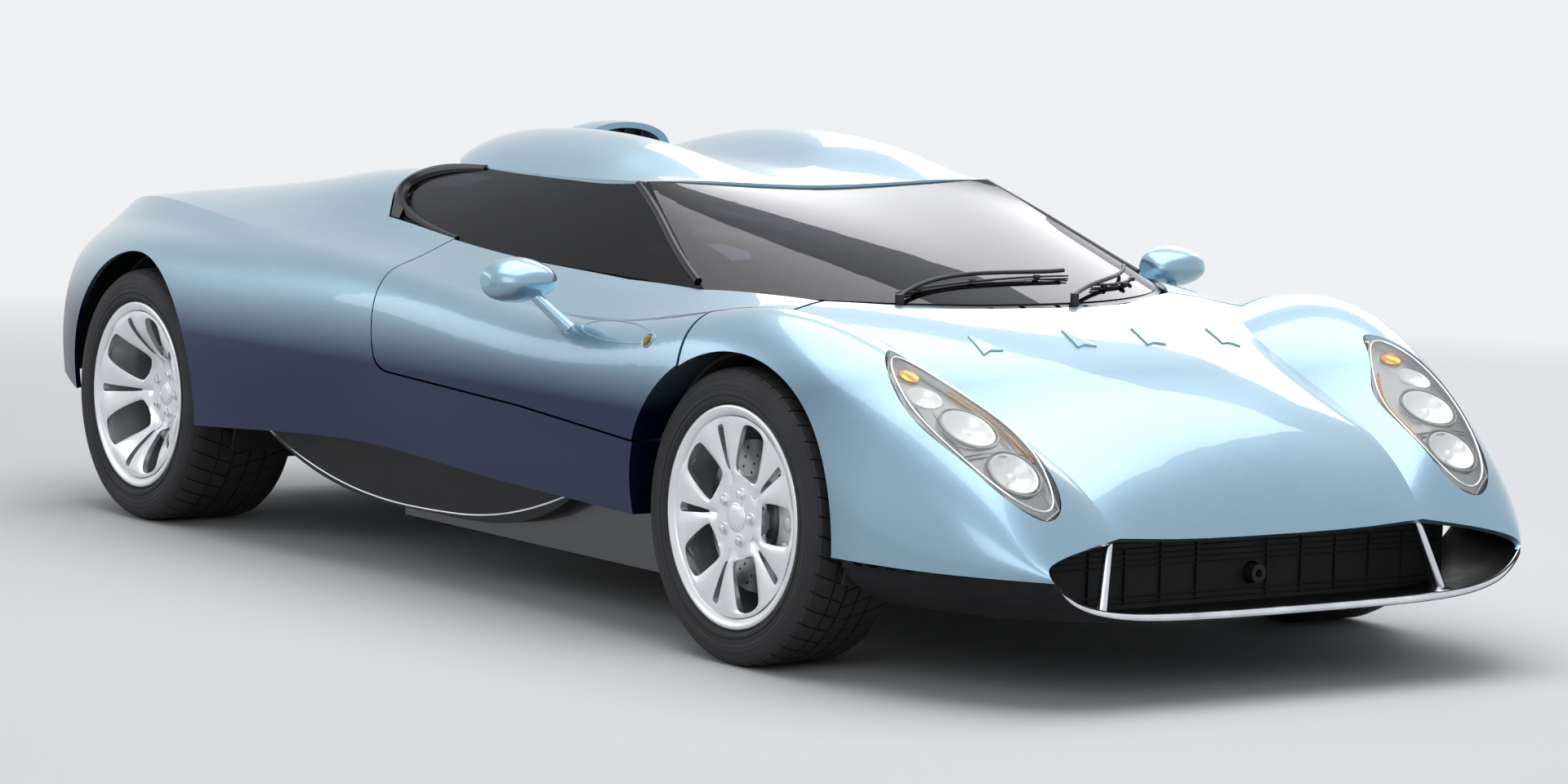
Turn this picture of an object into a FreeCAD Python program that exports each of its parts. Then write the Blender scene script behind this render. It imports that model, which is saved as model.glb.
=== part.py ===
# Low mid-engined two-seat supercar whose roof, glass and doors lift as one canopy.
# X points forward, Y to the car's left and Z up. The origin lies on the ground, midway along the body.

import FreeCAD, Part
import Sketcher
import math
import os
import re

from FreeCAD import Placement, Rotation, Vector

doc = FreeCAD.newDocument("Supercar")
sheet = doc.addObject("Spreadsheet::Sheet", "Sizes")

# Driving sizes in millimetres and degrees: alias, value, what it sets.
SIZES = (
    ("front_overhang", 853, "front lip to front axle"),
    ("wheelbase", 2650, "front axle to rear axle"),
    ("rear_overhang", 517, "rear axle to tail"),
    ("body_width", 1960, "width that the body outline is drawn to"),
    ("body_height", 1080, "height that the body outline is drawn to"),
    ("skin", 14, "thickness of the moulded body shells"),
    ("shut_gap", 5, "gap beside a moving panel"),
    ("seat_gap", 0.3, "running clearance between a moving piece and its seat"),
    ("overrun", 60, "how far a cutting tool passes the face it cuts"),
    ("door_depth", 80, "depth of the door moulding"),
    ("roof_depth", 24, "thickness of the roof panel"),
    ("glass", 5, "thickness of the glazing"),
    ("lens", 4, "thickness of a lamp cover"),
    ("frame_depth", 20, "depth of the canopy frame"),
    ("frame_border", 42, "width of the canopy frame behind the glass"),
    ("front_tyre_radius", 322, "front tyre, outside"),
    ("front_tyre_width", 238, "front tyre section"),
    ("front_rim_width", 228, "front rim over its flanges"),
    ("front_wheel_face", 895, "centre line to front rim face"),
    ("front_dish", 16, "front hub face behind the rim face"),
    ("rear_tyre_radius", 329, "rear tyre, outside"),
    ("rear_tyre_width", 312, "rear tyre section"),
    ("rear_rim_width", 300, "rear rim over its flanges"),
    ("rear_wheel_face", 935, "centre line to rear rim face"),
    ("rear_dish", 88, "rear hub face behind the rim face"),
    ("rim_flange_radius", 243, "edge of the rim flange"),
    ("bead_radius", 229, "bead seat of the rim"),
    ("rim_flange", 9, "thickness of the rim flange"),
    ("rim_wall", 11, "wall of the rim barrel"),
    ("spoke_depth", 26, "depth of a spoke at the hub"),
    ("hub_radius", 74, "solid centre of the wheel"),
    ("cap_radius", 33, "centre cap"),
    ("cap_height", 6, "centre cap above the hub face"),
    ("spoke_count", 5, "pairs of spokes"),
    ("front_arch_clearance", 35, "front arch beyond the tyre"),
    ("rear_arch_clearance", 46, "rear arch beyond the tyre"),
    ("liner", 7, "thickness of the wheel arch liners"),
    ("front_liner_inner", 492, "centre line to front arch liner wall"),
    ("rear_liner_inner", 600, "centre line to rear arch liner wall"),
    ("disc_radius", 166, "brake disc"),
    ("disc_depth", 28, "thickness of a brake disc"),
    ("disc_setback", 22, "brake disc behind the hub flange"),
    ("spindle_radius", 29, "hub spindle"),
    ("caliper_depth", 64, "brake caliper across the disc"),
    ("caliper_reach", 26, "caliper outside the disc's edge"),
    ("upright_width", 86, "width of an upright"),
    ("upright_height", 270, "height of an upright"),
    ("upright_depth", 34, "thickness of an upright"),
    ("kingpin_radius", 22, "kingpin of an upright"),
    ("arm_radius", 14, "suspension arm tube"),
    ("steer_angle", 28, "largest steering angle"),
    ("ground_clearance", 140, "ground to the underside of the tub"),
    ("tub_floor", 30, "thickness of the tub floor"),
    ("tub_wall", 26, "thickness of the tub's bulkheads"),
    ("tub_half_width", 780, "centre line to the tub's side"),
    ("sill_box_width", 150, "width of the tub's side boxes"),
    ("sill_box_height", 285, "height of the tub's side boxes"),
    ("footwell_half_width", 415, "centre line to the footwell's side"),
    ("footwell_height", 470, "height of the footwell"),
    ("tunnel_half_width", 120, "centre tunnel"),
    ("tunnel_height", 215, "centre tunnel"),
    ("rear_bulkhead_height", 590, "height of the bulkhead behind the seats"),
    ("rail_width", 60, "width of a frame rail"),
    ("rail_height", 80, "height of a frame rail"),
    ("rail_level", 190, "ground to the underside of the rails"),
    ("engine_length", 1180, "engine and gearbox block"),
    ("engine_width", 580, "engine and gearbox block"),
    ("engine_height", 600, "engine and gearbox block"),
    ("hinge_level", 735, "ground to the canopy hinge"),
    ("hinge_setback", 78, "front axle to the canopy hinge"),
    ("hinge_pin_radius", 5, "canopy hinge pin"),
    ("hinge_barrel_radius", 9, "canopy hinge barrel"),
    ("hinge_barrel_length", 70, "canopy hinge barrel"),
    ("hinge_spread", 95, "centre line to the middle of a hinge barrel"),
    ("steering_wheel_radius", 175, "steering wheel to the middle of its grip"),
    ("steering_grip_radius", 15, "grip of the steering wheel"),
    ("tow_socket_radius", 9, "tow eye socket"),
    ("tow_socket_depth", 45, "tow eye socket"),
    ("tow_boss_radius", 20, "boss around a tow eye socket"),
    ("exhaust_radius", 52, "tail pipe"),
    ("pipe_wall", 3, "wall of a tail pipe"),
    ("lip_depth", 15, "thickness of the front lip"),
    ("blade_depth", 46, "thickness of the side skirt blades"),
    ("door_sweep_radius", 1369, "canopy hinge to the doors' rear edge"),
    ("door_front_setback", 181, "front axle to the doors' front edge"),
    ("door_front_lean", 3, "extra gap of the doors' front edge"),
    ("seam_setback", 1302, "front axle to the seam ahead of the rear wheel"),
    ("lid_front_setback", 2135, "front axle to the engine lid's front edge"),
    ("lid_length", 820, "engine lid"),
    ("lid_half_width", 500, "engine lid"),
    ("lid_lean_share", 0.4, "forward lean of the engine lid's ends, as a share of their height"),
    ("lid_level", 940, "ground to the engine lid's front edge"),
    ("lid_hinge_setback", 2000, "front axle to the engine lid's hinge"),
    ("nose_frame_reach", 560, "front axle to the front of the nose frame"),
    ("tail_recess", 46, "tail edge to the tail panel"),
    ("tail_panel_depth", 14, "thickness of the tail panel"),
    ("tow_offset", 60, "centre line to a tow socket"),
    ("tow_level", 230, "ground to a tow socket"),
    ("upright_setback", 30, "upright behind the brake disc"),
    ("caliper_swept", 48, "depth of the disc's face under the pads"),
    ("caliper_length", 190, "height of a brake caliper"),
    ("disc_air", 4, "air between the disc and its caliper"),
    ("arm_spread", 300, "spread of a wishbone at the frame"),
    ("shaft_radius", 17, "drive shaft"),
    ("liner_reach", 60, "arch liner beyond the middle of the tyre"),
    ("liner_drop_share", 0.3, "arch liner's ends below the axle, as a share of its radius"),
    ("stay_radius", 6, "stay between the nose and its lip"),
    ("radiator_half_width", 625, "radiator"),
    ("radiator_depth", 46, "radiator"),
    ("tail_panel_level", 352, "ground to the tail panel"),
    ("valance_level", 197, "ground to the underside of the rear valance"),
    ("valance_half_width", 800, "rear valance"),
    ("exhaust_tip", 12, "tail edge to the tail pipes' ends"),
    ("exhaust_offset", 95, "centre line to a tail pipe"),
    ("exhaust_level", 410, "ground to a tail pipe"),
    ("lamp_inner_offset", 520, "centre line to the inner tail lamps"),
    ("lamp_outer_offset", 670, "centre line to the outer tail lamps"),
    ("tail_lamp_level", 610, "ground to the tail lamps"),
    ("tail_lamp_radius", 52, "tail lamp"),
    ("tail_lamp_depth", 24, "tail lamp"),
    ("diffuser_length", 350, "diffuser ahead of the tail panel"),
    ("diffuser_half_width", 540, "diffuser"),
    ("diffuser_exit", 180, "ground to the diffuser's rear edge"),
    ("seat_offset", 385, "centre line to the middle of a seat"),
    ("seat_width", 480, "seat"),
    ("seat_length", 690, "seat from its front edge to its headrest"),
    ("seat_height", 610, "seat above the floor"),
    ("seat_setback", 812, "front axle to a seat's front edge"),
    ("dash_setback", 140, "front axle to the dashboard's front edge"),
    ("dash_length", 440, "dashboard"),
    ("dash_height", 112, "dashboard above the footwell"),
    ("dash_half_width", 540, "dashboard"),
    ("dash_nose_half_width", 400, "dashboard between the wheel arches"),
    ("dash_shoulder", 270, "dashboard's narrow front"),
    ("column_length", 240, "steering column ahead of the wheel"),
    ("column_radius", 24, "steering column"),
    ("wheel_hub_depth", 45, "steering wheel hub"),
    ("wheel_setback", 760, "front axle to the steering wheel"),
    ("wheel_rim_offset", 385, "centre line to the steering wheel"),
    ("wheel_rim_level", 640, "ground to the steering wheel"),
    ("hinge_lug", 12, "thickness of a hinge lug"),
    ("cowl_reach", 18, "black cowl ahead of the windscreen"),
    ("lid_hinge_level", 905, "ground to the engine lid's hinge"),
    ("lid_arm_reach", 175, "engine lid's gooseneck"),
    ("lid_arm_drop", 130, "engine lid's gooseneck below its hinge"),
    ("lid_arm_offset", 350, "centre line to the engine lid's goosenecks"),
    ("mirror_length", 130, "mirror along the car"),
    ("mirror_width", 172, "mirror across the car"),
    ("mirror_height", 100, "mirror"),
    ("mirror_stalk_radius", 11, "mirror stalk"),
    ("wiper_rise", 12, "wiper above the glass"),
    ("wiper_radius", 5, "wiper arm"),
    ("lamp_wall", 8, "floor of the headlamp bowls"),
    ("skirt_top", 332, "ground to the top of the skirt blades"),
    ("footwell_nose", 270, "front axle to the front of the footwell"),
    ("belt_reach_share", 0.7, "canopy frame below the side glass, as a share of its lowest row"),
    ("cabin_length", 1180, "front bulkhead to rear bulkhead"),
)

# Places worked out from the driving sizes.
DERIVED = {
    "front_axle": "(wheelbase + rear_overhang - front_overhang) / 2",
    "rear_axle": "front_axle - wheelbase",
    "body_length": "front_overhang + wheelbase + rear_overhang",
    "nose": "body_length / 2",
    "half_width": "body_width / 2",
    "front_wheel_middle": "front_wheel_face - front_rim_width / 2",
    "rear_wheel_middle": "rear_wheel_face - rear_rim_width / 2",
    "front_arch_radius": "front_tyre_radius + front_arch_clearance",
    "rear_arch_radius": "rear_tyre_radius + rear_arch_clearance",
    "tub_top": "ground_clearance + tub_floor",
    "footwell_top": "ground_clearance + footwell_height",
    "hinge_x": "front_axle - hinge_setback",
    "dash_wall": "front_axle - front_arch_radius",
    "rear_wall": "dash_wall - cabin_length",
    "footwell_front": "front_axle + footwell_nose",
    "nose_frame": "front_axle + nose_frame_reach",
    "seat_front": "front_axle - seat_setback",
    "wheel_rim_x": "front_axle - wheel_setback",
    "tail_face": "tail_recess + tail_panel_depth - nose",
    "tail_frame": "tail_face + tow_socket_depth",
    "lid_rear_edge": "front_axle - lid_front_setback - lid_length",
}

for row, (alias, value, note) in enumerate(SIZES, start=1):
    sheet.set(f"A{row}", note)
    sheet.set(f"B{row}", str(value))
    sheet.setAlias(f"B{row}", alias)
doc.recompute()

ALIASES = {alias for alias, value, note in SIZES}
nodes = {}


def written(text):
    """The expression with every named size replaced by its cell."""
    def swap(found):
        word = found.group(0)
        if word in DERIVED:
            return "(" + written(DERIVED[word]) + ")"
        return "Sizes." + word if word in ALIASES else word
    return re.sub(r"[a-z][a-z_]*", swap, str(text))


def number(text):
    """The present value of an expression."""
    return float(sheet.evalExpression(written(text)))


def spot(back_share, side_share=0.0, up_share=0.0):
    """A point by its shares of wheelbase behind the front axle, half width and height."""
    return Vector(
        number("front_axle") - back_share * number("wheelbase"),
        side_share * number("half_width"),
        up_share * number("body_height"),
    )


# Bound primitives, bodies and sketches

def tie(thing, **expressions):
    for name, text in expressions.items():
        thing.setExpression(name, written(text))
    return thing


def placed(thing, x="0", y="0", z="0", turn=None):
    if turn:
        thing.Placement = Placement(Vector(), Rotation(*turn))
    for axis, text in zip("xyz", (x, y, z)):
        thing.setExpression("Placement.Base." + axis, written(text))
    return thing


def primitive(kind, name, x="0", y="0", z="0", turn=None, **expressions):
    thing = doc.addObject("Part::" + kind, name)
    tie(thing, **expressions)
    return placed(thing, x, y, z, turn)


def fused(name, pieces):
    thing = doc.addObject("Part::MultiFuse", name)
    thing.Shapes = pieces
    return thing


def cut(name, base, tool):
    thing = doc.addObject("Part::Cut", name)
    thing.Base = base
    thing.Tool = tool
    return thing


def mirrored(name, source):
    thing = doc.addObject("Part::Mirroring", name)
    thing.Source = source
    thing.Normal = Vector(0, 1, 0)
    return thing


def grouped(name, pieces):
    thing = doc.addObject("Part::Compound", name)
    thing.Links = pieces
    return thing


def feature(name, shape):
    thing = doc.addObject("Part::Feature", name)
    thing.Shape = shape
    return thing


def keep(name, thing):
    """Records a finished sub-part under the name of its file."""
    thing.Label = name
    nodes[name] = thing
    return thing


def sketch(body, name, plane, points, level="0"):
    """A closed outline whose corners are bound to expressions."""
    drawing = body.newObject("Sketcher::SketchObject", name)
    base = next(f for f in body.Origin.OriginFeatures if f.Role == plane)
    drawing.AttachmentSupport = [(base, "")]
    drawing.MapMode = "FlatFace"
    drawing.setExpression(".AttachmentOffset.Base.z", written(level))
    corners = [Vector(number(across), number(up), 0) for across, up in points]
    for start, end in zip(corners, corners[1:] + corners[:1]):
        drawing.addGeometry(Part.LineSegment(start, end), False)
    count = len(corners)
    for index in range(count):
        following = (index + 1) % count
        drawing.addConstraint(Sketcher.Constraint("Coincident", index, 2, following, 1))
    for index, texts in enumerate(points):
        for kind, text, axis in zip(("DistanceX", "DistanceY"), texts, (-2, -1)):
            if str(text) == "0":
                drawing.addConstraint(Sketcher.Constraint("PointOnObject", index, 1, axis))
                continue
            place = drawing.addConstraint(
                Sketcher.Constraint(kind, -1, 1, index, 1, number(text)))
            drawing.setExpression(f"Constraints[{place}]", written(text))
    return drawing


def pad(body, name, points, depth, level="0", plane="XY_Plane"):
    outline = sketch(body, name + "Outline", plane, points, level)
    thing = body.newObject("PartDesign::Pad", name)
    thing.Profile = outline
    tie(thing, Length=depth)
    return thing


def pocket(body, name, points, depth, level="0", plane="XY_Plane", backwards=False):
    outline = sketch(body, name + "Outline", plane, points, level)
    thing = body.newObject("PartDesign::Pocket", name)
    thing.Profile = outline
    thing.Reversed = backwards
    tie(thing, Length=depth)
    return thing


def turned(body, name, points):
    """A ring turned about Z from its outline of radius and height."""
    outline = sketch(body, name + "Outline", "XZ_Plane", points)
    thing = body.newObject("PartDesign::Revolution", name)
    thing.Profile = outline
    thing.ReferenceAxis = (outline, ["V_Axis"])
    thing.Angle = 360
    return thing


def around(body, name, features, count):
    """Repeats features evenly about Z."""
    thing = body.newObject("PartDesign::PolarPattern", name)
    thing.Originals = features
    axis = next(f for f in body.Origin.OriginFeatures if f.Role == "Z_Axis")
    thing.Axis = (axis, [""])
    thing.Angle = 360
    tie(thing, Occurrences=count)
    body.Tip = thing
    return thing


def both_sides(points):
    """An outline given for the left half, front to back, closed over the right half."""
    return points + [(across, "-(" + side + ")") for across, side in reversed(points)]


# Curved panels

def uniform(count):
    """Knots and multiplicities of an even cubic with fixed ends."""
    inner = count - 4
    return list(range(inner + 2)), [4] + [1] * inner + [4]


def patch(rows):
    """A cubic surface over a net of control points."""
    surface = Part.BSplineSurface()
    down, down_counts = uniform(len(rows))
    along, along_counts = uniform(len(rows[0]))
    surface.buildFromPolesMultsKnots(rows, down_counts, along_counts, down, along, False, False, 3, 3)
    return surface


def strip(edge, other):
    """A straight wall between two like edges."""
    surface = Part.BSplineSurface()
    knots, counts = uniform(len(edge))
    surface.buildFromPolesMultsKnots(
        [edge, other], [2, 2], counts, [0, 1], knots, False, False, 1, 3)
    return surface


def normals(rows):
    """The outward direction at each point of a net whose columns run from right to left."""
    found = []
    for i, row in enumerate(rows):
        line = []
        for j, point in enumerate(row):
            ahead = rows[max(i - 1, 0)][j] - rows[min(i + 1, len(rows) - 1)][j]
            left = row[min(j + 1, len(row) - 1)] - row[max(j - 1, 0)]
            line.append(ahead.cross(left).normalize())
        found.append(line)
    return found


def sewn(surfaces):
    """One solid bounded by surfaces that meet along their edges."""
    quilt = Part.makeShell([s.toShape() for s in surfaces])
    quilt.sewShape()
    solid = Part.makeSolid(quilt)
    if solid.Volume < 0:
        solid.reverse()
    return solid


def moulding(rows, breaks, depth):
    """A skin of even depth inside a net, split into patches at the given columns."""
    inner = [
        [point - way * depth for point, way in zip(row, ways)]
        for row, ways in zip(rows, normals(rows))
    ]
    surfaces = []
    for first, last in zip(breaks, breaks[1:]):
        part = slice(first, last + 1)
        surfaces.append(patch([row[part] for row in rows]))
        surfaces.append(patch([row[part] for row in inner]))
        surfaces.append(strip(rows[0][part], inner[0][part]))
        surfaces.append(strip(rows[-1][part], inner[-1][part]))
    for column in (0, -1):
        surfaces.append(strip([row[column] for row in rows], [row[column] for row in inner]))
    return sewn(surfaces)


def prism(points, way):
    """A straight-sided tool over a flat outline."""
    wire = Part.makePolygon(points + points[:1])
    return Part.Face(wire).extrude(way)


def plan_tool(points):
    """A tool that cuts straight down through the car, from its plan outline."""
    tall = number("body_height + overrun")
    low = [Vector(point.x, point.y, 0) for point in points]
    return prism(low, Vector(0, 0, tall))


def side_tool(points, reach=None):
    """A tool that cuts straight across the car, from its side outline."""
    wide = number("body_width") if reach is None else reach
    flat = [Vector(point.x, -wide, point.z) for point in points]
    return prism(flat, Vector(0, 2 * wide, 0))


def rounded_tool(points, way):
    """A tool over a smooth closed outline."""
    curve = Part.BSplineCurve()
    curve.interpolate(Points=points, PeriodicFlag=True)
    return Part.Face(Part.Wire(curve.toShape())).extrude(way)


def over(shape):
    """The same shape on the other side of the car."""
    return shape.mirror(Vector(), Vector(0, 1, 0))


def largest(shape):
    return max(shape.Solids, key=lambda solid: solid.Volume)


def block(low, high):
    """A box between two opposite corners."""
    return Part.makeBox(high.x - low.x, high.y - low.y, high.z - low.z, low)


def drum(radius, x, z, low_y, high_y):
    """A cylinder across the car."""
    return Part.makeCylinder(radius, high_y - low_y, Vector(x, low_y, z), Vector(0, 1, 0))


# Outline of the body, as control points: stations behind the nose as shares of the length, then
# shares of half width and height, from the centre line out to the shoulder crease

TOP_SHARES = [
    ([0.028, 0.028, 0.028, 0.028, 0.028, 0.027, 0.027],
     [(0.0, 0.307), (0.102, 0.307), (0.194, 0.308), (0.276, 0.31), (0.337, 0.313),
      (0.393, 0.317), (0.439, 0.319)]),
    ([0.038, 0.038, 0.038, 0.038, 0.038, 0.039, 0.041],
     [(0.0, 0.366), (0.102, 0.366), (0.204, 0.368), (0.296, 0.37), (0.357, 0.372),
      (0.408, 0.374), (0.454, 0.375)]),
    (0.067, [(0.0, 0.468), (0.102, 0.468), (0.204, 0.465), (0.306, 0.46), (0.378, 0.456),
             (0.429, 0.453), (0.474, 0.449)]),
    (0.113, [(0.0, 0.572), (0.102, 0.572), (0.214, 0.569), (0.316, 0.559), (0.388, 0.548),
             (0.449, 0.535), (0.495, 0.523)]),
    (0.175, [(0.0, 0.665), (0.102, 0.665), (0.224, 0.661), (0.327, 0.652), (0.408, 0.639),
             (0.464, 0.622), (0.51, 0.606)]),
    (0.232, [(0.0, 0.701), (0.122, 0.701), (0.245, 0.697), (0.357, 0.692), (0.449, 0.683),
             (0.52, 0.674), (0.582, 0.667)]),
    (0.274, [(0.0, 0.715), (0.153, 0.715), (0.327, 0.715), (0.49, 0.713), (0.612, 0.709),
             (0.714, 0.699), (0.816, 0.687)]),
    (0.361, [(0.0, 0.741), (0.204, 0.741), (0.408, 0.741), (0.592, 0.741), (0.714, 0.73),
             (0.786, 0.685), (0.862, 0.634)]),
    (0.473, [(0.0, 0.759), (0.204, 0.759), (0.408, 0.759), (0.612, 0.755), (0.73, 0.736),
             (0.806, 0.699), (0.883, 0.662)]),
    (0.585, [(0.0, 0.796), (0.204, 0.796), (0.408, 0.796), (0.602, 0.796), (0.724, 0.759),
             (0.806, 0.727), (0.883, 0.708)]),
    (0.697, [(0.0, 0.88), (0.204, 0.889), (0.388, 0.912), (0.561, 0.912), (0.704, 0.843),
             (0.76, 0.769), (0.867, 0.727)]),
    (0.797, [(0.0, 0.829), (0.184, 0.833), (0.357, 0.847), (0.51, 0.85), (0.643, 0.824),
             (0.735, 0.778), (0.837, 0.745)]),
    (0.896, [(0.0, 0.782), (0.173, 0.787), (0.347, 0.796), (0.49, 0.804), (0.602, 0.803),
             (0.704, 0.792), (0.791, 0.773)]),
    (0.966, [(0.0, 0.755), (0.163, 0.759), (0.327, 0.767), (0.449, 0.773), (0.561, 0.778),
             (0.653, 0.776), (0.735, 0.769)]),
    (1.0, [(0.0, 0.731), (0.153, 0.733), (0.306, 0.738), (0.429, 0.743), (0.531, 0.745),
           (0.622, 0.745), (0.694, 0.741)]),
]

# The flank below the crease, down to its lower edge
SIDE_SHARES = [
    ([0.027, 0.024, 0.021, 0.019, 0.016, 0.013, 0.01, 0.009],
     [(0.439, 0.319), (0.51, 0.31), (0.571, 0.301), (0.622, 0.292), (0.663, 0.282),
      (0.679, 0.273), (0.681, 0.262), (0.673, 0.252)]),
    ([0.041, 0.041, 0.041, 0.041, 0.038, 0.036, 0.034, 0.034],
     [(0.454, 0.375), (0.51, 0.4), (0.571, 0.414), (0.643, 0.414), (0.714, 0.389),
      (0.76, 0.343), (0.781, 0.296), (0.776, 0.255)]),
    (0.067, [(0.474, 0.449), (0.531, 0.479), (0.612, 0.5), (0.694, 0.5), (0.77, 0.463),
             (0.827, 0.398), (0.852, 0.324), (0.852, 0.256)]),
    (0.113, [(0.495, 0.523), (0.571, 0.569), (0.663, 0.602), (0.755, 0.606), (0.832, 0.565),
             (0.888, 0.481), (0.913, 0.37), (0.903, 0.259)]),
    (0.175, [(0.51, 0.606), (0.612, 0.662), (0.704, 0.701), (0.801, 0.711), (0.878, 0.676),
             (0.929, 0.602), (0.949, 0.417), (0.923, 0.259)]),
    (0.232, [(0.582, 0.667), (0.673, 0.701), (0.755, 0.722), (0.832, 0.722), (0.898, 0.69),
             (0.944, 0.62), (0.959, 0.426), (0.929, 0.259)]),
    (0.274, [(0.816, 0.687), (0.847, 0.693), (0.872, 0.687), (0.898, 0.671), (0.923, 0.644),
             (0.949, 0.593), (0.959, 0.426), (0.929, 0.264)]),
    (0.361, [(0.862, 0.634), (0.883, 0.63), (0.903, 0.619), (0.923, 0.602), (0.944, 0.569),
             (0.957, 0.528), (0.954, 0.398), (0.923, 0.269)]),
    (0.473, [(0.883, 0.662), (0.903, 0.657), (0.923, 0.644), (0.944, 0.62), (0.959, 0.583),
             (0.967, 0.532), (0.954, 0.407), (0.923, 0.278)]),
    (0.585, [(0.883, 0.708), (0.908, 0.699), (0.931, 0.676), (0.949, 0.644), (0.959, 0.602),
             (0.964, 0.537), (0.954, 0.417), (0.934, 0.31)]),
    (0.697, [(0.867, 0.727), (0.898, 0.718), (0.929, 0.694), (0.954, 0.662), (0.969, 0.616),
             (0.98, 0.537), (0.98, 0.407), (0.969, 0.287)]),
    (0.797, [(0.837, 0.745), (0.862, 0.731), (0.883, 0.713), (0.918, 0.699), (0.959, 0.667),
             (0.995, 0.593), (1.01, 0.426), (0.99, 0.259)]),
    (0.896, [(0.791, 0.773), (0.816, 0.75), (0.842, 0.718), (0.888, 0.704), (0.949, 0.681),
             (0.995, 0.611), (1.01, 0.435), (0.99, 0.259)]),
    (0.966, [(0.735, 0.769), (0.765, 0.741), (0.796, 0.708), (0.837, 0.69), (0.893, 0.657),
             (0.944, 0.583), (0.964, 0.426), (0.939, 0.278)]),
    (1.0, [(0.694, 0.741), (0.724, 0.718), (0.755, 0.69), (0.796, 0.667), (0.847, 0.63),
           (0.893, 0.556), (0.913, 0.426), (0.898, 0.315)]),
]

# Glass and roof, as shares of wheelbase behind the front axle, half width and height
WINDSCREEN_SHARES = [
    [(0.030, 0.000, 0.701), (0.038, 0.204, 0.701), (0.075, 0.429, 0.703), (0.121, 0.577, 0.707),
     (0.177, 0.668, 0.713)],
    [(0.136, 0.000, 0.789), (0.143, 0.204, 0.792), (0.174, 0.408, 0.796), (0.204, 0.546, 0.787),
     (0.234, 0.622, 0.780)],
    [(0.253, 0.000, 0.863), (0.255, 0.194, 0.869), (0.268, 0.378, 0.873), (0.281, 0.500, 0.856),
     (0.292, 0.571, 0.846)],
    [(0.358, 0.000, 0.897), (0.358, 0.184, 0.903), (0.355, 0.347, 0.911), (0.352, 0.449, 0.913),
     (0.350, 0.513, 0.913)],
]
SIDE_GLASS_SHARES = [
    [(0.177, 0.668, 0.713), (0.264, 0.709, 0.724), (0.396, 0.722, 0.729), (0.528, 0.719, 0.739),
     (0.623, 0.709, 0.752), (0.679, 0.679, 0.787)],
    [(0.234, 0.622, 0.780), (0.321, 0.668, 0.787), (0.423, 0.686, 0.792), (0.540, 0.689, 0.798),
     (0.630, 0.673, 0.807), (0.691, 0.643, 0.833)],
    [(0.292, 0.571, 0.846), (0.370, 0.617, 0.852), (0.445, 0.635, 0.856), (0.551, 0.641, 0.857),
     (0.638, 0.622, 0.865), (0.699, 0.612, 0.862)],
    [(0.350, 0.513, 0.913), (0.408, 0.551, 0.913), (0.472, 0.567, 0.912), (0.566, 0.573, 0.912),
     (0.642, 0.561, 0.915), (0.701, 0.585, 0.886)],
]
ROOF_SHARES = [
    [(0.351, 0.000, 0.903), (0.351, 0.077, 0.903), (0.351, 0.192, 0.907), (0.351, 0.307, 0.912),
     (0.351, 0.403, 0.915), (0.351, 0.480, 0.914), (0.351, 0.520, 0.913)],
    [(0.389, 0.000, 0.912), (0.389, 0.082, 0.915), (0.389, 0.204, 0.931), (0.389, 0.327, 0.946),
     (0.389, 0.429, 0.944), (0.389, 0.510, 0.926), (0.389, 0.556, 0.911)],
    [(0.434, 0.000, 0.924), (0.434, 0.082, 0.928), (0.434, 0.204, 0.968), (0.434, 0.327, 0.989),
     (0.434, 0.429, 0.980), (0.434, 0.520, 0.943), (0.434, 0.571, 0.910)],
    [(0.509, 0.000, 0.931), (0.509, 0.082, 0.937), (0.509, 0.204, 0.989), (0.509, 0.327, 1.009),
     (0.509, 0.429, 0.998), (0.509, 0.525, 0.956), (0.509, 0.580, 0.909)],
    [(0.604, 0.000, 0.931), (0.604, 0.082, 0.937), (0.604, 0.204, 0.987), (0.604, 0.327, 1.009),
     (0.604, 0.429, 0.998), (0.602, 0.525, 0.956), (0.600, 0.576, 0.910)],
    [(0.679, 0.000, 0.924), (0.679, 0.082, 0.929), (0.679, 0.204, 0.968), (0.678, 0.327, 0.987),
     (0.672, 0.420, 0.977), (0.660, 0.500, 0.946), (0.648, 0.549, 0.913)],
    [(0.725, 0.000, 0.912), (0.724, 0.082, 0.917), (0.721, 0.204, 0.935), (0.714, 0.320, 0.944),
     (0.699, 0.412, 0.942), (0.682, 0.475, 0.932), (0.664, 0.520, 0.919)],
]


def half_rows(shares):
    """The left half of a body net, from its stations."""
    rows = []
    for station, pairs in shares:
        stations = station if isinstance(station, list) else [station] * len(pairs)
        rows.append([
            Vector(
                number("nose") - back * number("body_length"),
                side * number("half_width"),
                up * number("body_height"),
            )
            for back, (side, up) in zip(stations, pairs)
        ])
    return rows


def whole_rows(rows):
    """A net from the right edge over the centre line to the left edge."""
    flip = [[Vector(p.x, -p.y, p.z) for p in row[:0:-1]] for row in rows]
    return [right + left for right, left in zip(flip, rows)]


def glass_rows(shares):
    return [[spot(*point) for point in row] for row in shares]


# Body shells

top_half = half_rows(TOP_SHARES)
side_half = half_rows(SIDE_SHARES)
left_half = [top + side[1:] for top, side in zip(top_half, side_half)]
body_rows = whole_rows(left_half)
centre_column = len(left_half[0]) - 1
crease_column = len(top_half[0]) - 1
body_breaks = (0, centre_column - crease_column, centre_column + crease_column, 2 * centre_column)
skin_shell = moulding(body_rows, body_breaks, number("skin"))
lens_shell = moulding(body_rows, body_breaks, number("lens"))

side_reach = number("half_width * 1.15")
gap = number("shut_gap")

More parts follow.
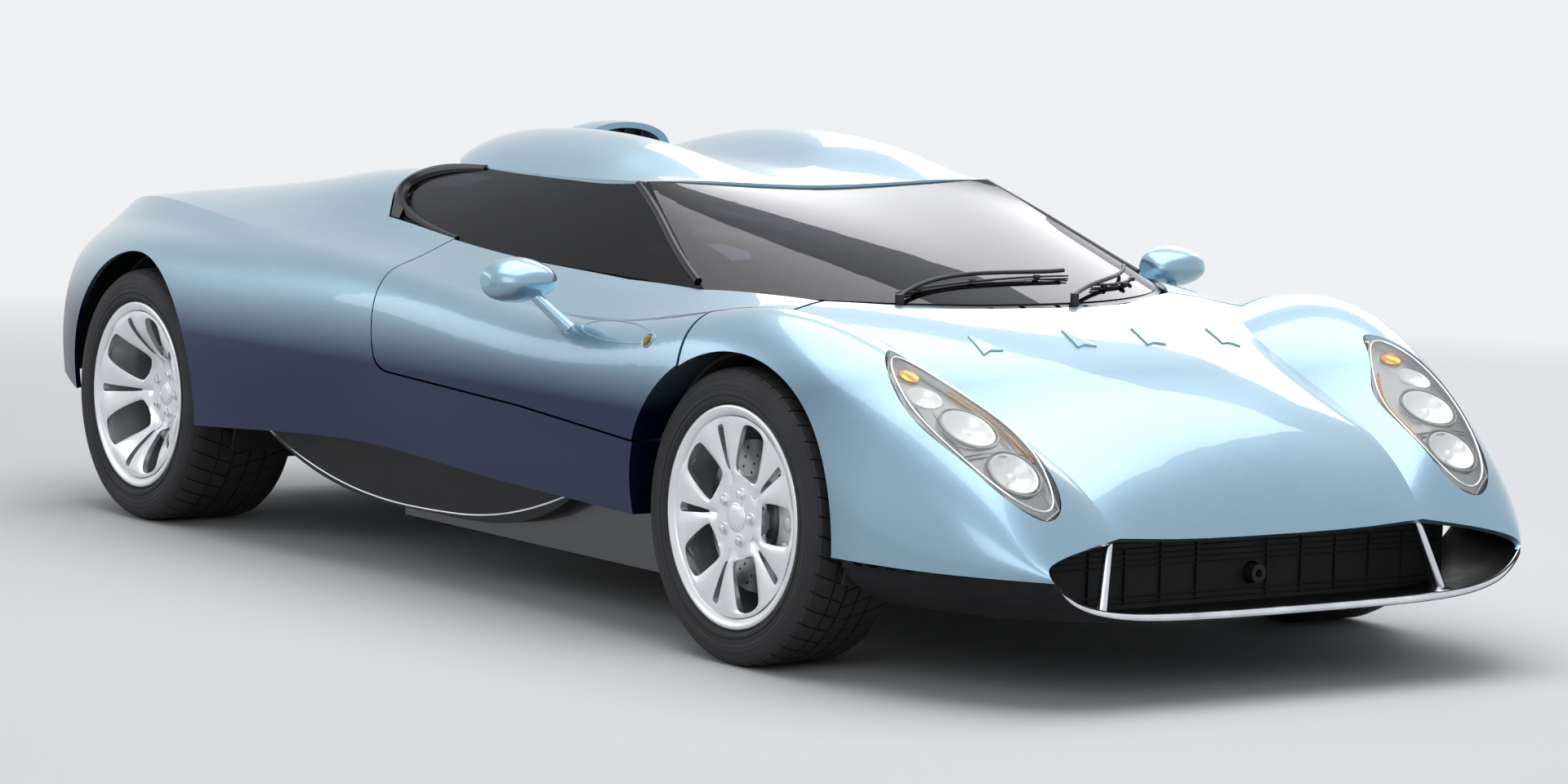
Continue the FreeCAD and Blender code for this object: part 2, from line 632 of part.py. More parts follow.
CLAM_EDGE_SHARES = [
    (0.017, 0.0), (0.021, 0.143), (0.032, 0.265), (0.066, 0.429), (0.083, 0.51), (0.075, 0.592),
    (0.066, 0.673), (0.066, 1.15),
]
CABIN_EDGE_SHARES = [
    (0.4, 0.727), (0.611, 0.727), (0.664, 0.727), (0.702, 0.653), (0.721, 0.541), (0.732, 0.306),
    (0.736, 0.0),
]
HOOP_INNER_SHARES = [
    (0.638, 0.75), (0.66, 0.692), (0.676, 0.66), (0.684, 0.605), (0.67, 0.56), (0.66, 0.5),
    (0.68, 0.44), (0.694, 0.37), (0.704, 0.28), (0.71, 0.15), (0.712, 0.0),
]
LAMP_SHARES = [
    (-0.102, 0.704), (-0.127, 0.759), (-0.17, 0.786), (-0.222, 0.744), (-0.26, 0.69),
    (-0.274, 0.62), (-0.268, 0.575), (-0.232, 0.545), (-0.2, 0.544), (-0.169, 0.559),
    (-0.121, 0.653),
]
DOOR_INNER_SHARES = [
    (0.077, 0.6), (0.086, 0.52), (0.124, 0.592), (0.177, 0.678), (0.264, 0.719), (0.396, 0.732),
    (0.6, 0.732),
]
DOOR_LOWER_SHARES = [
    (0.05, 0.421), (0.125, 0.421), (0.302, 0.452), (0.506, 0.472), (0.518, 0.473), (0.528, 0.479),
    (0.535, 0.489), (0.539, 0.502), (0.56, 0.7), (0.6, 1.2),
]
DOOR_CORNER_SHARE = 0.52


def plan_points(shares):
    return [spot(back, side) for back, side in shares]


def flipped(points):
    return [Vector(point.x, -point.y, point.z) for point in points]


def both_edges(points):
    """An edge drawn on the left, carried over to the right."""
    return points + flipped([p for p in reversed(points) if p.y > 0])


def shifted(points, way):
    return [point + way for point in points]


def scaled_about(points, share):
    middle = Vector()
    for point in points:
        middle += point * (1 / len(points))
    return [middle + (point - middle) * share for point in points]


def lamp_tool(share):
    """The headlamp's outline as a tool, grown or shrunk about its middle."""
    points = scaled_about(plan_points(LAMP_SHARES), share)
    return rounded_tool(points, Vector(0, 0, number("body_height")))


def front_arch(radius):
    return drum(number(radius), number("front_axle"), number("front_tyre_radius"),
                number("front_liner_inner"), side_reach)


def rear_arch(radius):
    return drum(number(radius), number("rear_axle"), number("rear_tyre_radius"),
                number("rear_liner_inner"), side_reach)


def door_sweep(clearance):
    """The canopy's rear edge swept about its hinge."""
    return drum(number("door_sweep_radius") + clearance, number("hinge_x"), number("hinge_level"),
                -side_reach, side_reach)


def front_region():
    """Everything ahead of the canopy."""
    edge = plan_points(CLAM_EDGE_SHARES)
    ahead = number("nose + overrun")
    points = [Vector(ahead, -side_reach, 0), Vector(ahead, side_reach, 0)]
    points += list(reversed(edge)) + flipped(edge[1:])
    return plan_tool(points)


def door_side_region(drop):
    """The doors' side outline, lowered by a clearance and moved back past its corner."""
    lower = []
    for back, up in DOOR_LOWER_SHARES:
        rearward = drop if back > DOOR_CORNER_SHARE else 0
        lower.append(spot(back, 0, up) + Vector(-rearward, 0, -drop))
    top = number("body_height + overrun")
    lower = [point for point in lower if point.z < top]
    return side_tool([Vector(lower[0].x, 0, top)] + lower + [Vector(lower[-1].x, 0, top)])


clam = skin_shell.common(front_region())
for tool in (front_arch("front_arch_radius"), lamp_tool(1)):
    clam = clam.cut(tool).cut(over(tool))
clam = largest(clam)
keep("front_clamshell", feature("FrontClamshell", clam))

# Rear clamshell, with the opening of the cabin and of the engine lid

lid_front = number("front_axle - lid_front_setback")
lid_rear = number("lid_rear_edge")


def lid_region(clearance):
    """The engine lid's opening: ends leaning forward, so that the lid swings clear."""
    top = number("body_height + overrun")
    foot = number("lid_level * lid_lean_share")
    head = top * number("lid_lean_share") - foot
    front = lid_front + clearance
    rear = lid_rear - clearance
    return side_tool([
        Vector(rear - foot, 0, 0), Vector(front - foot, 0, 0),
        Vector(front + head, 0, top), Vector(rear + head, 0, top),
    ], number("lid_half_width") + clearance)


behind = number("front_axle - seam_setback")
rear_clam = skin_shell.common(block(
    Vector(number("-nose - overrun"), -side_reach, 0),
    Vector(behind, side_reach, number("body_height + overrun"))))
door_opening = door_sweep(gap).common(door_side_region(gap))
cabin_outline = Part.Face(Part.makePolygon(both_edges(plan_points(CABIN_EDGE_SHARES))
                                           + [spot(*CABIN_EDGE_SHARES[0])]))
tall = Vector(0, 0, number("body_height + overrun"))
cabin_opening = cabin_outline.extrude(tall)
rear_arch_tool = rear_arch("rear_arch_radius")
for tool in (door_opening, cabin_opening, lid_region(gap), rear_arch_tool, over(rear_arch_tool)):
    rear_clam = rear_clam.cut(tool)
rear_clam = largest(rear_clam)
lid = largest(skin_shell.common(lid_region(0)))

# The lid swings on two goosenecks, whose pins sit in lugs under the deck ahead of it

LID_ARM_SHARES = [
    (0.06, 0.08), (0.06, -0.15), (-0.26, -1.0), (-0.94, -1.0), (-1.09, 0.6), (-0.94, 0.6),
    (-0.86, -0.82), (-0.31, -0.82), (-0.06, 0.08),
]
lid_axis = Vector(number("front_axle - lid_hinge_setback"), 0, number("lid_hinge_level"))
lid_eye = number("hinge_barrel_radius * 1.2")
arm_low = number("lid_arm_offset - hinge_lug / 2")
arm_high = number("lid_arm_offset + hinge_lug / 2")
arm_points = [
    Vector(lid_axis.x + along * number("lid_arm_reach"), arm_low,
           lid_axis.z + up * number("lid_arm_drop"))
    for along, up in LID_ARM_SHARES
]
lid_arm = prism(arm_points, Vector(0, number("hinge_lug"), 0))
lid_arm = lid_arm.fuse(drum(lid_eye, lid_axis.x, lid_axis.z, arm_low, arm_high))
lid_arm = lid_arm.cut(drum(number("hinge_pin_radius + seat_gap"), lid_axis.x, lid_axis.z,
                           arm_low, arm_high))
lid_arm = largest(lid_arm.cut(lid))
lid = largest(lid.fuse([lid_arm, over(lid_arm)]))
keep("engine_lid", feature("EngineLid", lid))

for way in (-1, 1):
    near = (arm_high if way > 0 else arm_low) + way * number("seat_gap")
    far = near + way * number("hinge_lug")
    low_y, high_y = sorted((near, far))
    lug = block(Vector(lid_axis.x - lid_eye, low_y, lid_axis.z),
                Vector(lid_axis.x + lid_eye, high_y, number("body_height")))
    lug = lug.fuse(drum(lid_eye, lid_axis.x, lid_axis.z, low_y, high_y)).cut(skin_shell)
    lug = min(lug.Solids, key=lambda solid: solid.CenterOfMass.z)
    rear_clam = rear_clam.fuse([lug, over(lug)])
lid_pin = drum(number("hinge_pin_radius"), lid_axis.x, lid_axis.z,
               arm_low - number("hinge_lug / 2"), arm_high + number("hinge_lug / 2"))
rear_clam = largest(rear_clam.fuse([lid_pin, over(lid_pin)]))
keep("rear_clamshell", feature("RearClamshell", rear_clam))

# Doors and sills: mouldings that follow the flank

top_face = patch([row[:crease_column + 1] for row in left_half]).toShape()
side_face = patch([row[crease_column:] for row in left_half]).toShape()
inward = Vector(0, -1, -1) * number("door_depth")
flank = top_face.extrude(inward).fuse(side_face.extrude(inward))

door_front = number("front_axle - door_front_setback")
door_lean = number("door_front_lean")
door_edge = [
    Vector(door_front - door_lean, side_reach, 0),
    Vector(door_front - door_lean, number("half_width * 0.68"), 0),
]
door_plan = plan_tool(door_edge + plan_points(DOOR_INNER_SHARES)
                      + [Vector(spot(0.6).x, side_reach, 0)])
door = flank.common(door_side_region(0)).common(door_plan).common(door_sweep(0))
door = largest(door.cut(front_arch("front_arch_radius + shut_gap")))

sill_front = number("front_axle - front_arch_radius")
sill_block = side_face.extrude(Vector(0, -number("half_width / 2"), 0))
sill = sill_block.common(block(
    Vector(behind, number("tub_half_width"), 0),
    Vector(number("front_axle"), side_reach, number("body_height"))))
sill = largest(sill.cut(door_side_region(gap)).cut(front_arch("front_arch_radius")))
keep("side_sills", feature("SideSills", Part.makeCompound([sill, over(sill)])))

# Glass, roof and the frame behind them


def pane(rows, way, depth):
    """A thin plate behind a curved net, of a given depth along one direction."""
    return patch(rows).toShape().extrude(way * depth)


def inset_tool(points, border, way):
    """A rounded opening inside an outline."""
    middle = Vector()
    for point in points:
        middle += point * (1 / len(points))
    inner = []
    for point in points:
        reach = point - middle
        inner.append(middle + reach * (1 - border / reach.Length))
    wire = Part.makePolygon(inner + inner[:1])
    return Part.Face(wire).extrude(way)


def lowered(rows, way, distance):
    return [[point + way * distance for point in row] for row in rows]


down = Vector(0, 0, -1)
screen_half = glass_rows(WINDSCREEN_SHARES)
screen_rows = whole_rows(screen_half)
glass_depth = number("glass")
glass_bed = number("glass + seat_gap")
frame_depth = number("frame_depth")
border = number("frame_border")
windscreen = pane(screen_rows, down, glass_depth)
cowl_way = Vector(1, 0, -0.2) * number("cowl_reach")
cowl_rows = [shifted(screen_rows[0], cowl_way)] + screen_rows[1:]
screen_ring = pane(lowered(cowl_rows, down, glass_bed), down, frame_depth)
screen_edge = [row[-1] for row in screen_rows] + list(reversed(screen_rows[-1]))[1:-1]
screen_edge += [row[0] for row in reversed(screen_rows)] + screen_rows[0][1:-1]
flat_edge = [Vector(point.x, point.y, 0) for point in screen_edge]
screen_ring = screen_ring.cut(inset_tool(flat_edge, border, Vector(0, 0, number("body_height"))))

side_rows = glass_rows(SIDE_GLASS_SHARES)
lean = (side_rows[-1][2] - side_rows[0][2]).cross(Vector(1, 0, 0))
lean = lean.normalize() * (1 if lean.y < 0 else -1)
side_glass = pane(side_rows, lean, glass_depth)
skirt_row = [low + (low - high) * number("belt_reach_share") for low, high in zip(*side_rows[:2])]
ring_rows = [skirt_row] + side_rows[1:]
side_ring = pane(lowered(ring_rows, lean, glass_bed), lean, frame_depth)
side_edge = side_rows[0] + [row[-1] for row in side_rows[1:]]
side_edge += list(reversed(side_rows[-1]))[1:] + [row[0] for row in reversed(side_rows[1:-1])]
spread = number("half_width")
tool_edge = [point - lean * (point.dot(lean) + spread * 2) for point in side_edge]
side_ring = side_ring.cut(inset_tool(tool_edge, border, lean * (spread * 4)))

roof = pane(whole_rows(glass_rows(ROOF_SHARES)), down, number("roof_depth"))

windscreen = largest(windscreen.cut(roof))
side_glass = largest(side_glass.cut(roof).cut(windscreen).cut(door))
hoop_inner = both_edges(plan_points(HOOP_INNER_SHARES))
hoop_space = plan_tool([Vector(-number("nose"), side_reach, 0)] + hoop_inner
                       + [Vector(-number("nose"), -side_reach, 0)])
cabin_inner = cabin_outline.makeOffset2D(-gap).extrude(tall)
hoop = skin_shell.common(hoop_space).common(cabin_inner)
rear_limit = block(
    Vector(-number("nose"), -side_reach, 0),
    Vector(behind, side_reach, number("body_height + overrun")))
rear_limit = rear_limit.cut(door_sweep(0)).cut(cabin_inner)
frame = screen_ring.fuse([side_ring, over(side_ring), hoop])
hinge_x = number("hinge_x")
hinge_level = number("hinge_level")
barrels = []
for side in (-1, 1):
    middle = side * number("hinge_spread")
    half_long = number("hinge_barrel_length / 2")
    barrel = drum(number("hinge_barrel_radius"), hinge_x, hinge_level,
                  middle - half_long, middle + half_long)
    leaf = block(
        Vector(hinge_x - border, middle - half_long, hinge_level - number("hinge_barrel_radius")),
        Vector(hinge_x, middle + half_long, hinge_level))
    lift = block(
        Vector(hinge_x - border, middle - half_long, hinge_level - number("hinge_barrel_radius")),
        Vector(hinge_x - border / 2, middle + half_long, hinge_level + frame_depth / 2))
    barrels += [barrel, leaf, lift]
frame = frame.fuse(barrels)
pin_bore = drum(number("hinge_pin_radius + seat_gap"), hinge_x, hinge_level,
                -number("half_width / 2"), number("half_width / 2"))
for tool in (roof, windscreen, side_glass, over(side_glass), door, over(door), pin_bore, rear_limit):
    frame = frame.cut(tool)
for side in (-1, 1):
    for way in (-1, 1):
        near = side * number("hinge_spread") + way * number("hinge_barrel_length / 2")
        low_y, high_y = sorted((near, near + way * number("hinge_lug + shut_gap")))
        frame = frame.cut(drum(number("hinge_barrel_radius * 2"), hinge_x, hinge_level, low_y, high_y))
frame = largest(frame)

keep("windscreen", feature("Windscreen", windscreen))
keep("side_glass", feature("SideGlass", Part.makeCompound([side_glass, over(side_glass)])))
keep("roof_panel", feature("RoofPanel", roof))
keep("canopy_frame", feature("CanopyFrame", frame))
keep("doors", feature("Doors", Part.makeCompound([door, over(door)])))

# Roof scoop: a tapering duct over the valley between the roof's two crowns

SCOOP_SHARES = [
    (0.672, 0.14, 0.917, 1.005), (0.7, 0.135, 0.917, 1.006), (0.735, 0.105, 0.926, 0.992),
    (0.775, 0.05, 0.938, 0.958),
]


def scoop_section(back, half_share, low_share, high_share, grow):
    """An arch over a flat base, at one station."""
    low = spot(back, 0, low_share)
    half = half_share * number("half_width") * grow
    rise = (high_share - low_share) * number("body_height") * grow
    points = [low + Vector(0, half, 0)]
    steps = 12
    for step in range(1, steps):
        angle = math.pi * step / steps
        points.append(low + Vector(0, half * math.cos(angle), rise * math.sin(angle) ** 0.6))
    points.append(low + Vector(0, -half, 0))
    curve = Part.BSplineCurve()
    curve.interpolate(points)
    base = Part.LineSegment(points[-1], points[0])
    return Part.Wire([curve.toShape(), base.toShape()])


scoop = Part.makeLoft([scoop_section(*row, 1) for row in SCOOP_SHARES], True, False)
throat_rows = [(SCOOP_SHARES[0][0] - 0.01,) + SCOOP_SHARES[0][1:], SCOOP_SHARES[1]]
throat = Part.makeLoft([scoop_section(*row, 0.84) for row in throat_rows], True, True)
scoop = largest(scoop.cut(throat).cut(roof))
keep("roof_scoop", feature("RoofScoop", scoop))

# Mirrors on stalks, and wipers lying along the foot of the windscreen

mirror_foot = spot(0.249, 0.905, 0.62)
mirror_middle = spot(0.284, 0.989, 0.718)
MIRROR_SHARES = [
    (-0.5, 0.12, 0.1), (-0.46, 0.3, 0.26), (-0.3, 0.43, 0.41), (0.0, 0.5, 0.5), (0.25, 0.45, 0.45),
    (0.42, 0.31, 0.32), (0.5, 0.12, 0.12),
]


def mirror_section(out, long_share, high_share):
    """One oval of the mirror's shell, across the car."""
    middle = mirror_middle + Vector(0, out * number("mirror_width"), 0)
    reach = Vector(long_share * number("mirror_length"), 0, 0)
    rise = Vector(0, 0, high_share * number("mirror_height"))
    back = Vector(-number("mirror_length") * 0.18, 0, 0)
    points = [
        middle + reach, middle + reach * 0.75 + rise * 0.62, middle + reach * 0.2 + rise * 0.95,
        middle + back + rise, middle + back * 1.2, middle + back - rise,
        middle + reach * 0.2 - rise * 0.95, middle + reach * 0.75 - rise * 0.62,
    ]
    curve = Part.BSplineCurve()
    curve.interpolate(Points=points, PeriodicFlag=True)
    return Part.Wire(curve.toShape())


head = Part.makeLoft([mirror_section(*row) for row in MIRROR_SHARES], True, False)
stalk_way = mirror_middle - mirror_foot
stalk = Part.makeCone(number("mirror_stalk_radius * 1.5"), number("mirror_stalk_radius"),
                      stalk_way.Length, mirror_foot, stalk_way)
mirror = largest(head.fuse(stalk).cut(door))
keep("mirrors", feature("Mirrors", Part.makeCompound([mirror, over(mirror)])))

screen_face = patch(screen_rows)
WIPER_SHARES = [
    [(0.068, -0.337, 0.705), (0.078, -0.2, 0.73), (0.083, 0.0, 0.74), (0.09, 0.2, 0.745)],
    [(0.038, 0.112, 0.705), (0.066, 0.25, 0.725), (0.093, 0.37, 0.735), (0.135, 0.49, 0.745)],
]
wipers = []
for row in WIPER_SHARES:
    points = []
    for index, share in enumerate(row):
        rough = spot(*share)
        u, v = screen_face.parameter(rough)
        rise = number("wiper_rise") + (number("wiper_radius") if index else 0)
        points.append(screen_face.value(u, v) + Vector(0, 0, rise))
    points[0] = spot(*row[0]) + Vector(number("wiper_rise"), 0, number("wiper_rise"))
    curve = Part.BSplineCurve()
    curve.interpolate(points)
    path = Part.Wire(curve.toShape())
    section = Part.Wire(Part.makeCircle(number("wiper_radius"), points[0], points[1] - points[0]))
    arm = path.makePipeShell([section], True, True)
    spindle = Part.makeCylinder(
        number("wiper_radius * 2"), number("wiper_rise * 3"),
        points[0] - Vector(0, 0, number("wiper_rise * 2.6")))
    arm = arm.cut(clam)
    wipers.append(largest(arm.fuse(spindle).cut(frame).cut(windscreen)))
keep("wipers", feature("Wipers", Part.makeCompound(wipers)))

# Tub: floor, side boxes, footwell, bulkheads and tunnel

tub = doc.addObject("PartDesign::Body", "FloorTub")
wide = "tub_half_width"
box_inner = "tub_half_width - sill_box_width"
foot = "footwell_half_width"
rear_face = "rear_wall"
pad(tub, "Floor", both_sides([
    ("footwell_front", foot), ("dash_wall", foot), ("dash_wall", wide), (rear_face, wide),
]), "tub_floor", "ground_clearance")
for label, inner, outer in (("Left", box_inner, wide), ("Right", f"-({wide})", f"-({box_inner})")):
    pad(tub, label + "Box", [
        ("dash_wall", inner), (rear_face, inner), (rear_face, outer), ("dash_wall", outer),
    ], "sill_box_height", "ground_clearance")
pad(tub, "Footwell", both_sides([("footwell_front", foot), ("dash_wall - tub_wall", foot)]),
    "footwell_height", "ground_clearance")
pad(tub, "FrontBulkhead", both_sides([("dash_wall", wide), ("dash_wall - tub_wall", wide)]),
    "footwell_height", "ground_clearance")
pad(tub, "RearBulkhead", both_sides([(rear_face + " + tub_wall", wide), (rear_face, wide)]),
    "rear_bulkhead_height", "ground_clearance")
pocket(tub, "FootSpace", both_sides([
    ("footwell_front - tub_wall", foot + " - tub_wall"),
    ("dash_wall - tub_wall - overrun", foot + " - tub_wall"),
]), "footwell_height - tub_floor - tub_wall", "tub_top", backwards=True)
pad(tub, "Tunnel", both_sides([
    ("dash_wall + overrun", "tunnel_half_width"), (rear_face, "tunnel_half_width"),
]), "tunnel_height", "ground_clearance")

# Frame rails with their tow sockets, engine and rear hoop


def rail(name, start, end, side, level):
    """A square rail along the car, from the front station back to the rear one."""
    inner = f"{side} * engine_width / 2" if side > 0 else f"{side} * (engine_width / 2 + rail_width)"
    return primitive(
        "Box", name, end, inner, level,
        Length=f"({start}) - ({end})", Width="rail_width", Height="rail_height")


def tow_socket(name, x, facing):
    """A boss with a blind socket for a tow eye, facing along the car."""
    boss = primitive(
        "Cylinder", name + "Boss", x, "tow_offset", "tow_level", (Vector(0, 1, 0), 90 * facing),
        Radius="tow_boss_radius", Height="tow_socket_depth + tub_wall")
    bore = primitive(
        "Cylinder", name + "Bore", f"{x} + {facing} * tub_wall", "tow_offset", "tow_level",
        (Vector(0, 1, 0), 90 * facing), Radius="tow_socket_radius",
        Height="tow_socket_depth + overrun")
    return boss, bore


front_boss, front_bore = tow_socket("FrontTow", "nose_frame", 1)
rear_boss, rear_bore = tow_socket("RearTow", "tail_frame", -1)
front_cross = primitive(
    "Box", "FrontCross", "nose_frame - rail_width", "-engine_width / 2 - rail_width", "rail_level",
    Length="rail_width", Width="engine_width + 2 * rail_width", Height="rail_height")
front_rails = cut("FrontRails", fused("FrontRailsRaw", [
    rail("FrontRailLeft", "nose_frame", "footwell_front", 1, "rail_level"),
    rail("FrontRailRight", "nose_frame", "footwell_front", -1, "rail_level"),
    front_cross, front_boss,
]), front_bore)

rear_cross = primitive(
    "Box", "RearCross", "tail_frame", "-engine_width / 2 - rail_width", "rail_level",
    Length="rail_width", Width="engine_width + 2 * rail_width", Height="rail_height")
rear_rails = cut("RearRails", fused("RearRailsRaw", [
    rail("RearRailLeft", "rear_wall", "tail_frame", 1, "rail_level"),
    rail("RearRailRight", "rear_wall", "tail_frame", -1, "rail_level"),
    rear_cross, rear_boss,
]), rear_bore)
keep("frame_rails", grouped("FrameRails", [front_rails, rear_rails]))

keep("engine_block", primitive(
    "Box", "EngineBlock", "rear_wall - engine_length", "-engine_width / 2", "rail_level",
    Length="engine_length", Width="engine_width", Height="engine_height"))

# Wheels: local Z points out of the car

WINDOW_SHARES = [
    (0.38, 11), (0.62, 19), (0.86, 25), (0.86, 47), (0.62, 53), (0.38, 61),
]
SLOT_SHARES = [(0.42, -2.2), (0.84, -3.2), (0.84, 3.2), (0.42, 2.2)]


def polar(radius, share, angle):
    return (f"{radius} * {share} * cos({angle})", f"{radius} * {share} * sin({angle})")


def tyre(name, radius, width, rim_width):
    body = doc.addObject("PartDesign::Body", name)
    seat = f"({rim_width}) / 2 - rim_flange"
    half = f"({width}) / 2"
    wall = f"({radius} - bead_radius)"
    profile = [
        ("bead_radius", seat),
        (f"bead_radius + {wall} * 0.16", seat),
        (f"bead_radius + {wall} * 0.36", half),
        (f"bead_radius + {wall} * 0.62", f"{half} * 0.995"),
        (f"bead_radius + {wall} * 0.83", f"{half} * 0.95"),
        (f"bead_radius + {wall} * 0.955", f"{half} * 0.86"),
        (radius, f"{half} * 0.72"),
    ]
    below = [(across, f"-({up})") for across, up in reversed(profile)]
    turned(body, "Carcass", profile + below)
    return body


def rim(name, width, dish):
    """Barrel, flanges and dished spokes, with windows between pairs and a slot in each pair."""
    body = doc.addObject("PartDesign::Body", name)
    front = f"({width}) / 2"
    inner = "bead_radius - rim_wall"
    edge = "rim_flange"
    hub_face = f"{front} - ({dish})"
    turned(body, "Barrel", [
        ("0", hub_face + " + cap_height"),
        ("cap_radius", hub_face + " + cap_height"),
        ("cap_radius", hub_face),
        ("hub_radius", hub_face),
        (inner, f"{front} - {edge}"),
        ("rim_flange_radius - rim_wall", front),
        ("rim_flange_radius", front),
        ("rim_flange_radius", f"{front} - rim_flange"),
        ("bead_radius", f"{front} - rim_flange"),
        ("bead_radius", f"-({front} - rim_flange)"),
        ("rim_flange_radius", f"-({front} - rim_flange)"),
        ("rim_flange_radius", f"-({front})"),
        (inner, f"-({front})"),
        (inner, f"{front} - {edge} - spoke_depth * 0.75"),
        ("hub_radius", f"{hub_face} - spoke_depth"),
        ("0", f"{hub_face} - spoke_depth"),
    ])
    deep = f"{dish} + spoke_depth + overrun"
    windows = pocket(body, "Window", [
        polar("rim_flange_radius", share, angle) for share, angle in WINDOW_SHARES
    ], deep, front)
    slots = pocket(body, "Slot", [
        polar("rim_flange_radius", share, angle) for share, angle in SLOT_SHARES
    ], deep, front)
    doc.recompute()
    around(body, "Spokes", [windows, slots], "spoke_count")
    return body


def brake_disc(name):
    body = doc.addObject("PartDesign::Body", name)
    bore = "spindle_radius + seat_gap"
    turned(body, "Ring", [
        (bore, "0"),
        ("hub_radius", "0"),
        ("hub_radius", "-disc_setback"),
        ("disc_radius", "-disc_setback"),
        ("disc_radius", "-disc_setback - disc_depth"),
        ("hub_radius * 0.9", "-disc_setback - disc_depth"),
        ("hub_radius * 0.9", "-disc_setback * 0.6"),
        (bore, "-disc_setback * 0.6"),
    ])
    return body


def standing(thing, axle, side, out, level):
    """Stands a wheel piece on its axle, its local Z pointing out of the car."""
    return placed(thing, axle, f"{side} * ({out})", level, (Vector(1, 0, 0), -90 * side))


for end in ("front", "rear"):
    middle = f"{end}_wheel_middle"
    hub_back = f"{end}_wheel_face - {end}_dish - spoke_depth"
    for hand, side in (("left", 1), ("right", -1)):
        corner = f"{end}_{hand}"
        title = end.title() + hand.title()
        level = f"{end}_tyre_radius"
        carcass = tyre(title + "Tyre", level, f"{end}_tyre_width", f"{end}_rim_width")
        keep("tyre_" + corner, standing(carcass, f"{end}_axle", side, middle, level))
        wheel = rim(title + "Rim", f"{end}_rim_width", f"{end}_dish")
        keep("rim_" + corner, standing(wheel, f"{end}_axle", side, middle, level))
        ring = brake_disc(title + "Disc")
        keep("brake_disc_" + corner, standing(ring, f"{end}_axle", side, hub_back, level))

# Uprights with spindle and caliper: the front ones steer


def upright(name, end, side):
    axle = f"{end}_axle"
    level = f"{end}_tyre_radius"
    hub_back = f"({end}_wheel_face - {end}_dish - spoke_depth)"
    disc_back = f"({hub_back} - disc_setback - disc_depth)"
    outer = f"({disc_back} - upright_setback)"
    inner = f"({outer} - upright_depth)"

    def across(label, kind, low, high, x, z, **sizes):
        low_y = low if side > 0 else high
        thing = primitive(kind, name + label, x, f"{side} * {low_y}", z, **sizes)
        if kind == "Cylinder":
            thing.Placement = Placement(Vector(), Rotation(Vector(1, 0, 0), -90))
            tie(thing, Height=f"{high} - {low}")
        else:
            tie(thing, Width=f"{high} - {low}")
        return thing

    plate = across("Plate", "Box", inner, outer, f"{axle} - upright_width / 2",
                   f"{level} - upright_height / 2", Length="upright_width",
                   Height="upright_height")
    spindle = across("Spindle", "Cylinder", inner, f"({hub_back} - seat_gap)", axle, level,
                     Radius="spindle_radius")
    flange = across("Flange", "Cylinder", inner, f"({outer} + upright_depth)", axle, level,
                    Radius="spindle_radius * 1.6")
    middle = f"({disc_back} + disc_depth / 2)"
    low = f"({middle} - caliper_depth / 2)"
    high = f"({middle} + caliper_depth / 2)"
    shell = across("CaliperShell", "Cylinder", low, high, axle, level,
                   Radius="disc_radius + caliper_reach")
    core = across("CaliperCore", "Cylinder", f"({low} - overrun)", f"({high} + overrun)", axle,
                  level, Radius="disc_radius - caliper_swept")
    slot = across("CaliperSlot", "Cylinder", f"({middle} - disc_depth / 2 - disc_air)",
                  f"({middle} + disc_depth / 2 + disc_air)", axle, level,
                  Radius="disc_radius + disc_air")
    window = across("CaliperEnds", "Box", low, high, axle,
                    f"{level} - caliper_length / 2", Length="disc_radius * 2",
                    Height="caliper_length")
    bridge = across("Bracket", "Box", inner, f"({low} + disc_air)",
                    axle, f"{level} - upright_width / 2",
                    Length="disc_radius * 0.8", Height="upright_width")
    caliper = doc.addObject("Part::MultiCommon", name + "CaliperBlock")
    caliper.Shapes = [shell, window]
    caliper = cut(name + "Caliper", cut(name + "CaliperRing", caliper, core), slot)
    pieces = [plate, spindle, flange, caliper, bridge]
    if end == "front":
        pieces.append(primitive(
            "Cylinder", name + "Kingpin", axle, f"{side} * ({inner} + upright_depth / 2)",
            f"{level} - upright_height / 2", Radius="kingpin_radius", Height="upright_height"))
    return fused(name, pieces)


keep("knuckle_left", upright("KnuckleLeft", "front", 1))
keep("knuckle_right", upright("KnuckleRight", "front", -1))
rear_left = upright("UprightLeft", "rear", 1)
rear_right = upright("UprightRight", "rear", -1)
keep("rear_uprights", grouped("RearUprights", [rear_left, rear_right]))
doc.recompute()

# Suspension arms: two wishbones at each corner


def leg(start, end):
    return Part.makeCylinder(number("arm_radius"), (end - start).Length, start, end - start)


def wishbones(end, inboard, upper_level, lower_level):
    """A pair of wishbones on the left, from the upright's ends to the frame."""
    axle = number(f"{end}_axle")
    level = number(f"{end}_tyre_radius")
    hub_back = number(f"{end}_wheel_face - {end}_dish - spoke_depth")
    joint = hub_back - number("disc_setback + disc_depth + upright_setback + upright_depth / 2")
    reach = number("upright_height / 2 + arm_radius + seat_gap * 2")
    found = []
    for up, mount in ((reach, upper_level), (-reach, lower_level)):
        ball = Vector(axle, joint, level + up)
        pieces = [Part.makeSphere(number("arm_radius"), ball)]
        for way in (-1, 1):
            foot = Vector(axle + way * number("arm_spread / 2"), inboard,
                          level + up if mount is None else mount)
            pieces.append(leg(ball, foot))
        found.append(pieces[0].fuse(pieces[1:]))
    return found


